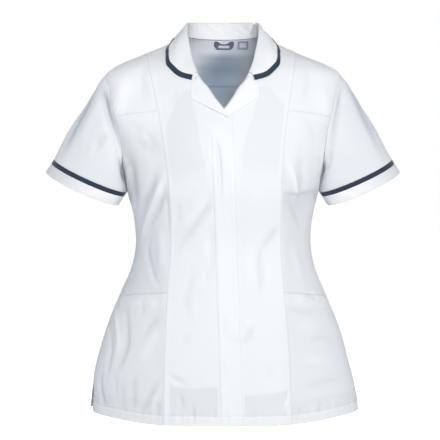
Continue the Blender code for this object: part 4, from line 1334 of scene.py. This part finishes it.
def makeLapels():
    for side, table in lapelForm.items():
        line = np.array(table)
        t = np.linspace(0, len(line) - 1, lapel["rows"])
        i = np.minimum(t.astype(int), len(line) - 2)
        # the free edge keeps its corner at the third point; the fold is one smooth line
        straight, bent = mix(line[i], line[i + 1], (t - i)[:, None]), softLine(table, lapel["rows"])
        fold, free = bent[:, :2], np.where((np.abs(t - 2) < 0.9)[:, None], straight[:, 2:], bent[:, 2:])
        # its upper end goes on a little way, flat, under the end of the collar
        under = np.array(lapel["under"])[:, None]
        fold = np.concatenate((fold[:1] + under * np.array([[sides[side] * 0.25, 1.0]]), fold))
        free = np.concatenate((free[:1] + under * np.array([[0.0, 1.0]]), free))
        down = np.concatenate((-under[:, 0], t * 0.018))
        low = ease((down - 0.0005) / 0.009)
        over = lapel["overlap"][side] * ease((down - 0.046) / 0.020)
        rows = [onFront(fold[:, 0] + back * sides[side], fold[:, 1], height * (0.3 + 0.7 * low))
                for back, height in ((-0.0003, -0.0010), (-0.0011, -0.0003), (-0.0012, 0.0008))]
        for share in gradedSteps(0.045, 0.0022):
            x, z = mix(fold, free, share).T
            height = mix(lapel["rise"], lapel["rest"], ease(share / 0.9)) * ease((share + 0.10) / 0.22)
            rows.append(onFront(x, z, mix(lapel["low"], height, low) + over))
        smooth = np.stack(rows)[:, ::-sides[side]]
        fade = ease(np.linspace(0, 1, len(rows)) / 0.3)[:, None]
        points = smooth + gridNormals(smooth) * (0.0005 * ripple(smooth, 0.035, 91) * fade)[..., None]
        # painted shade on the inner face, and painted light from its doubling
        makeSheet("lapel" + side.capitalize(), points, smooth, cut["doubled"], shade=0.1,
                  shadeAndBorderLevels=lapel["doubled"][side])


labels = {
    "neckTab": {"slot": "tab", "middle": 0.002, "width": 0.039, "height": 0.0134, "notch": 0.0046,
                "shape": (0.94, 1.0, 0.94, 0.70), "face": (0.0105, 0.0022), "cloth": slate},
    "neckLabel": {"slot": "label", "middle": 0.039, "width": 0.020, "height": 0.013, "notch": 0.0,
                  "shape": (1.0, 1.0), "face": (0.0062, 0.0038), "cloth": tape},
}


def makeLabels():
    # bare woven labels that hang inside the back neck, each with a darker border
    top, air, thickness, stitchesBehind = -0.0015, 0.0020, 0.0007, 0.00045
    u, v = np.linspace(0.5, -0.5, 53)[None, :], np.linspace(0, 1, 29)[:, None]
    for name, size in labels.items():
        share = np.interp(v, np.linspace(0, 1, len(size["shape"])), size["shape"])
        x = size["middle"] + size["width"] * share * u
        z = top - size["height"] * v - size["notch"] * np.exp(-(u / 0.27) ** 4) * (1 - v)
        angle = 180.0 - frontAngle(x, z)
        smooth = onBody(angle, z)
        inwards = air + 0.0012 * v ** 2 + 0.0003 * np.sin(u * 9)
        points = smooth - bodyNormal(angle, z) * inwards[..., None]
        middle = top - size["height"] * 0.52 - size["notch"] * 0.42
        across = (np.abs(x - size["middle"]) - size["face"][0]) / 0.0008
        along = (np.abs(z - middle) - size["face"][1]) / 0.0006
        # its stitches show on the side that faces the neck opening
        makeSheet(name, points, smooth, thickness, size["cloth"], "hung", size["slot"],
                  shadeAndBorderLevels=ease(0.5 + np.maximum(across, along)), thread=navyThread,
                  above=-thickness / 2 - stitchesBehind,
                  runs=lambda surface: [lineBeside(surface, "top", 0.0012)[3:-3]])


makeCollar()
makeLapels()
makeLabels()
print("collar, lapels and labels made")


stage = {"floorDrop": 0.30, "floorRadius": 6.0, "eye": (-0.0056, -2.4, -0.325), "lens": 105.0,
         "shiftY": -0.0227}


def makeStage():
    bpy.ops.mesh.primitive_circle_add(vertices=96, radius=stage["floorRadius"], fill_type="NGON",
                                      location=(0, 0, cadBox[0].z - stage["floorDrop"]))
    floor = bpy.context.object
    floor.name = "floor"
    pale = Finish("paleFloor", Roughness=0.9, Specular_IOR_Level=0.0, Base_Color=(0.9, 0.9, 0.9, 1),
                  Emission_Color=(1, 1, 1, 1), Emission_Strength=0.8)
    floor.data.materials.append(pale.material)
    floor.visible_diffuse = False
    floor.visible_glossy = False

    world = bpy.data.worlds.new("studio")
    bpy.context.scene.world = world
    world.use_nodes = True
    web, nodes = Web(world.node_tree), world.node_tree.nodes
    soft = nodes["Background"]        # what lights the cloth; the camera sees plain white
    web.feed(soft.inputs["Color"], (0.84, 0.92, 1.0, 1))
    web.feed(soft.inputs["Strength"], 0.35)
    clear = web.node("ShaderNodeBackground", None, {"Color": (1, 1, 1, 1), "Strength": 1.0})
    toCamera = web.node("ShaderNodeLightPath")
    chosen = web.node("ShaderNodeMixShader", None, {0: toCamera, 1: Wire(web, soft.outputs[0]), 2: clear})
    web.feed(nodes["World Output"].inputs["Surface"], chosen)


# Softboxes: place, what they aim at, size, power and colour.
lights = {
    "frontSoftbox": ((0.35, -2.6, 0.15), (0, 0, -0.33), 0.9, 52.5, (1.0, 0.990, 0.975)),
    "leftSoftbox": ((2.4, 0.3, -0.80), (0, 0, -0.45), 1.2, 15, (0.95, 0.975, 1.0)),
    "rightSoftbox": ((-2.4, 0.4, -0.80), (0, 0, -0.45), 1.2, 24, (0.93, 0.965, 1.0)),
    "backSoftbox": ((0.3, 2.8, 0.2), (0, 0, -0.35), 1.2, 44, (0.98, 0.99, 1.0)),
}


def makeLights():
    for name, (place, aim, size, power, colour) in lights.items():
        data = bpy.data.lights.new(name, "AREA")
        data.size, data.energy, data.color = size, power, colour
        light = link(name, data)
        light.location = place
        light.rotation_euler = (Vector(aim) - Vector(place)).to_track_quat("-Z", "Y").to_euler()


def makeCamera():
    data = bpy.data.cameras.new("camera")
    data.lens, data.sensor_width, data.shift_y = stage["lens"], 36.0, stage["shiftY"]
    camera = link("camera", data)
    camera.location = stage["eye"]
    camera.rotation_euler = (math.radians(90), 0, 0)
    bpy.context.scene.camera = camera


makeStage()
makeLights()
makeCamera()
bpy.context.scene.view_settings.view_transform = "Standard"
print("stage, lights and camera made")

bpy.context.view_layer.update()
for row in cutList:
    print("cut:", *row)
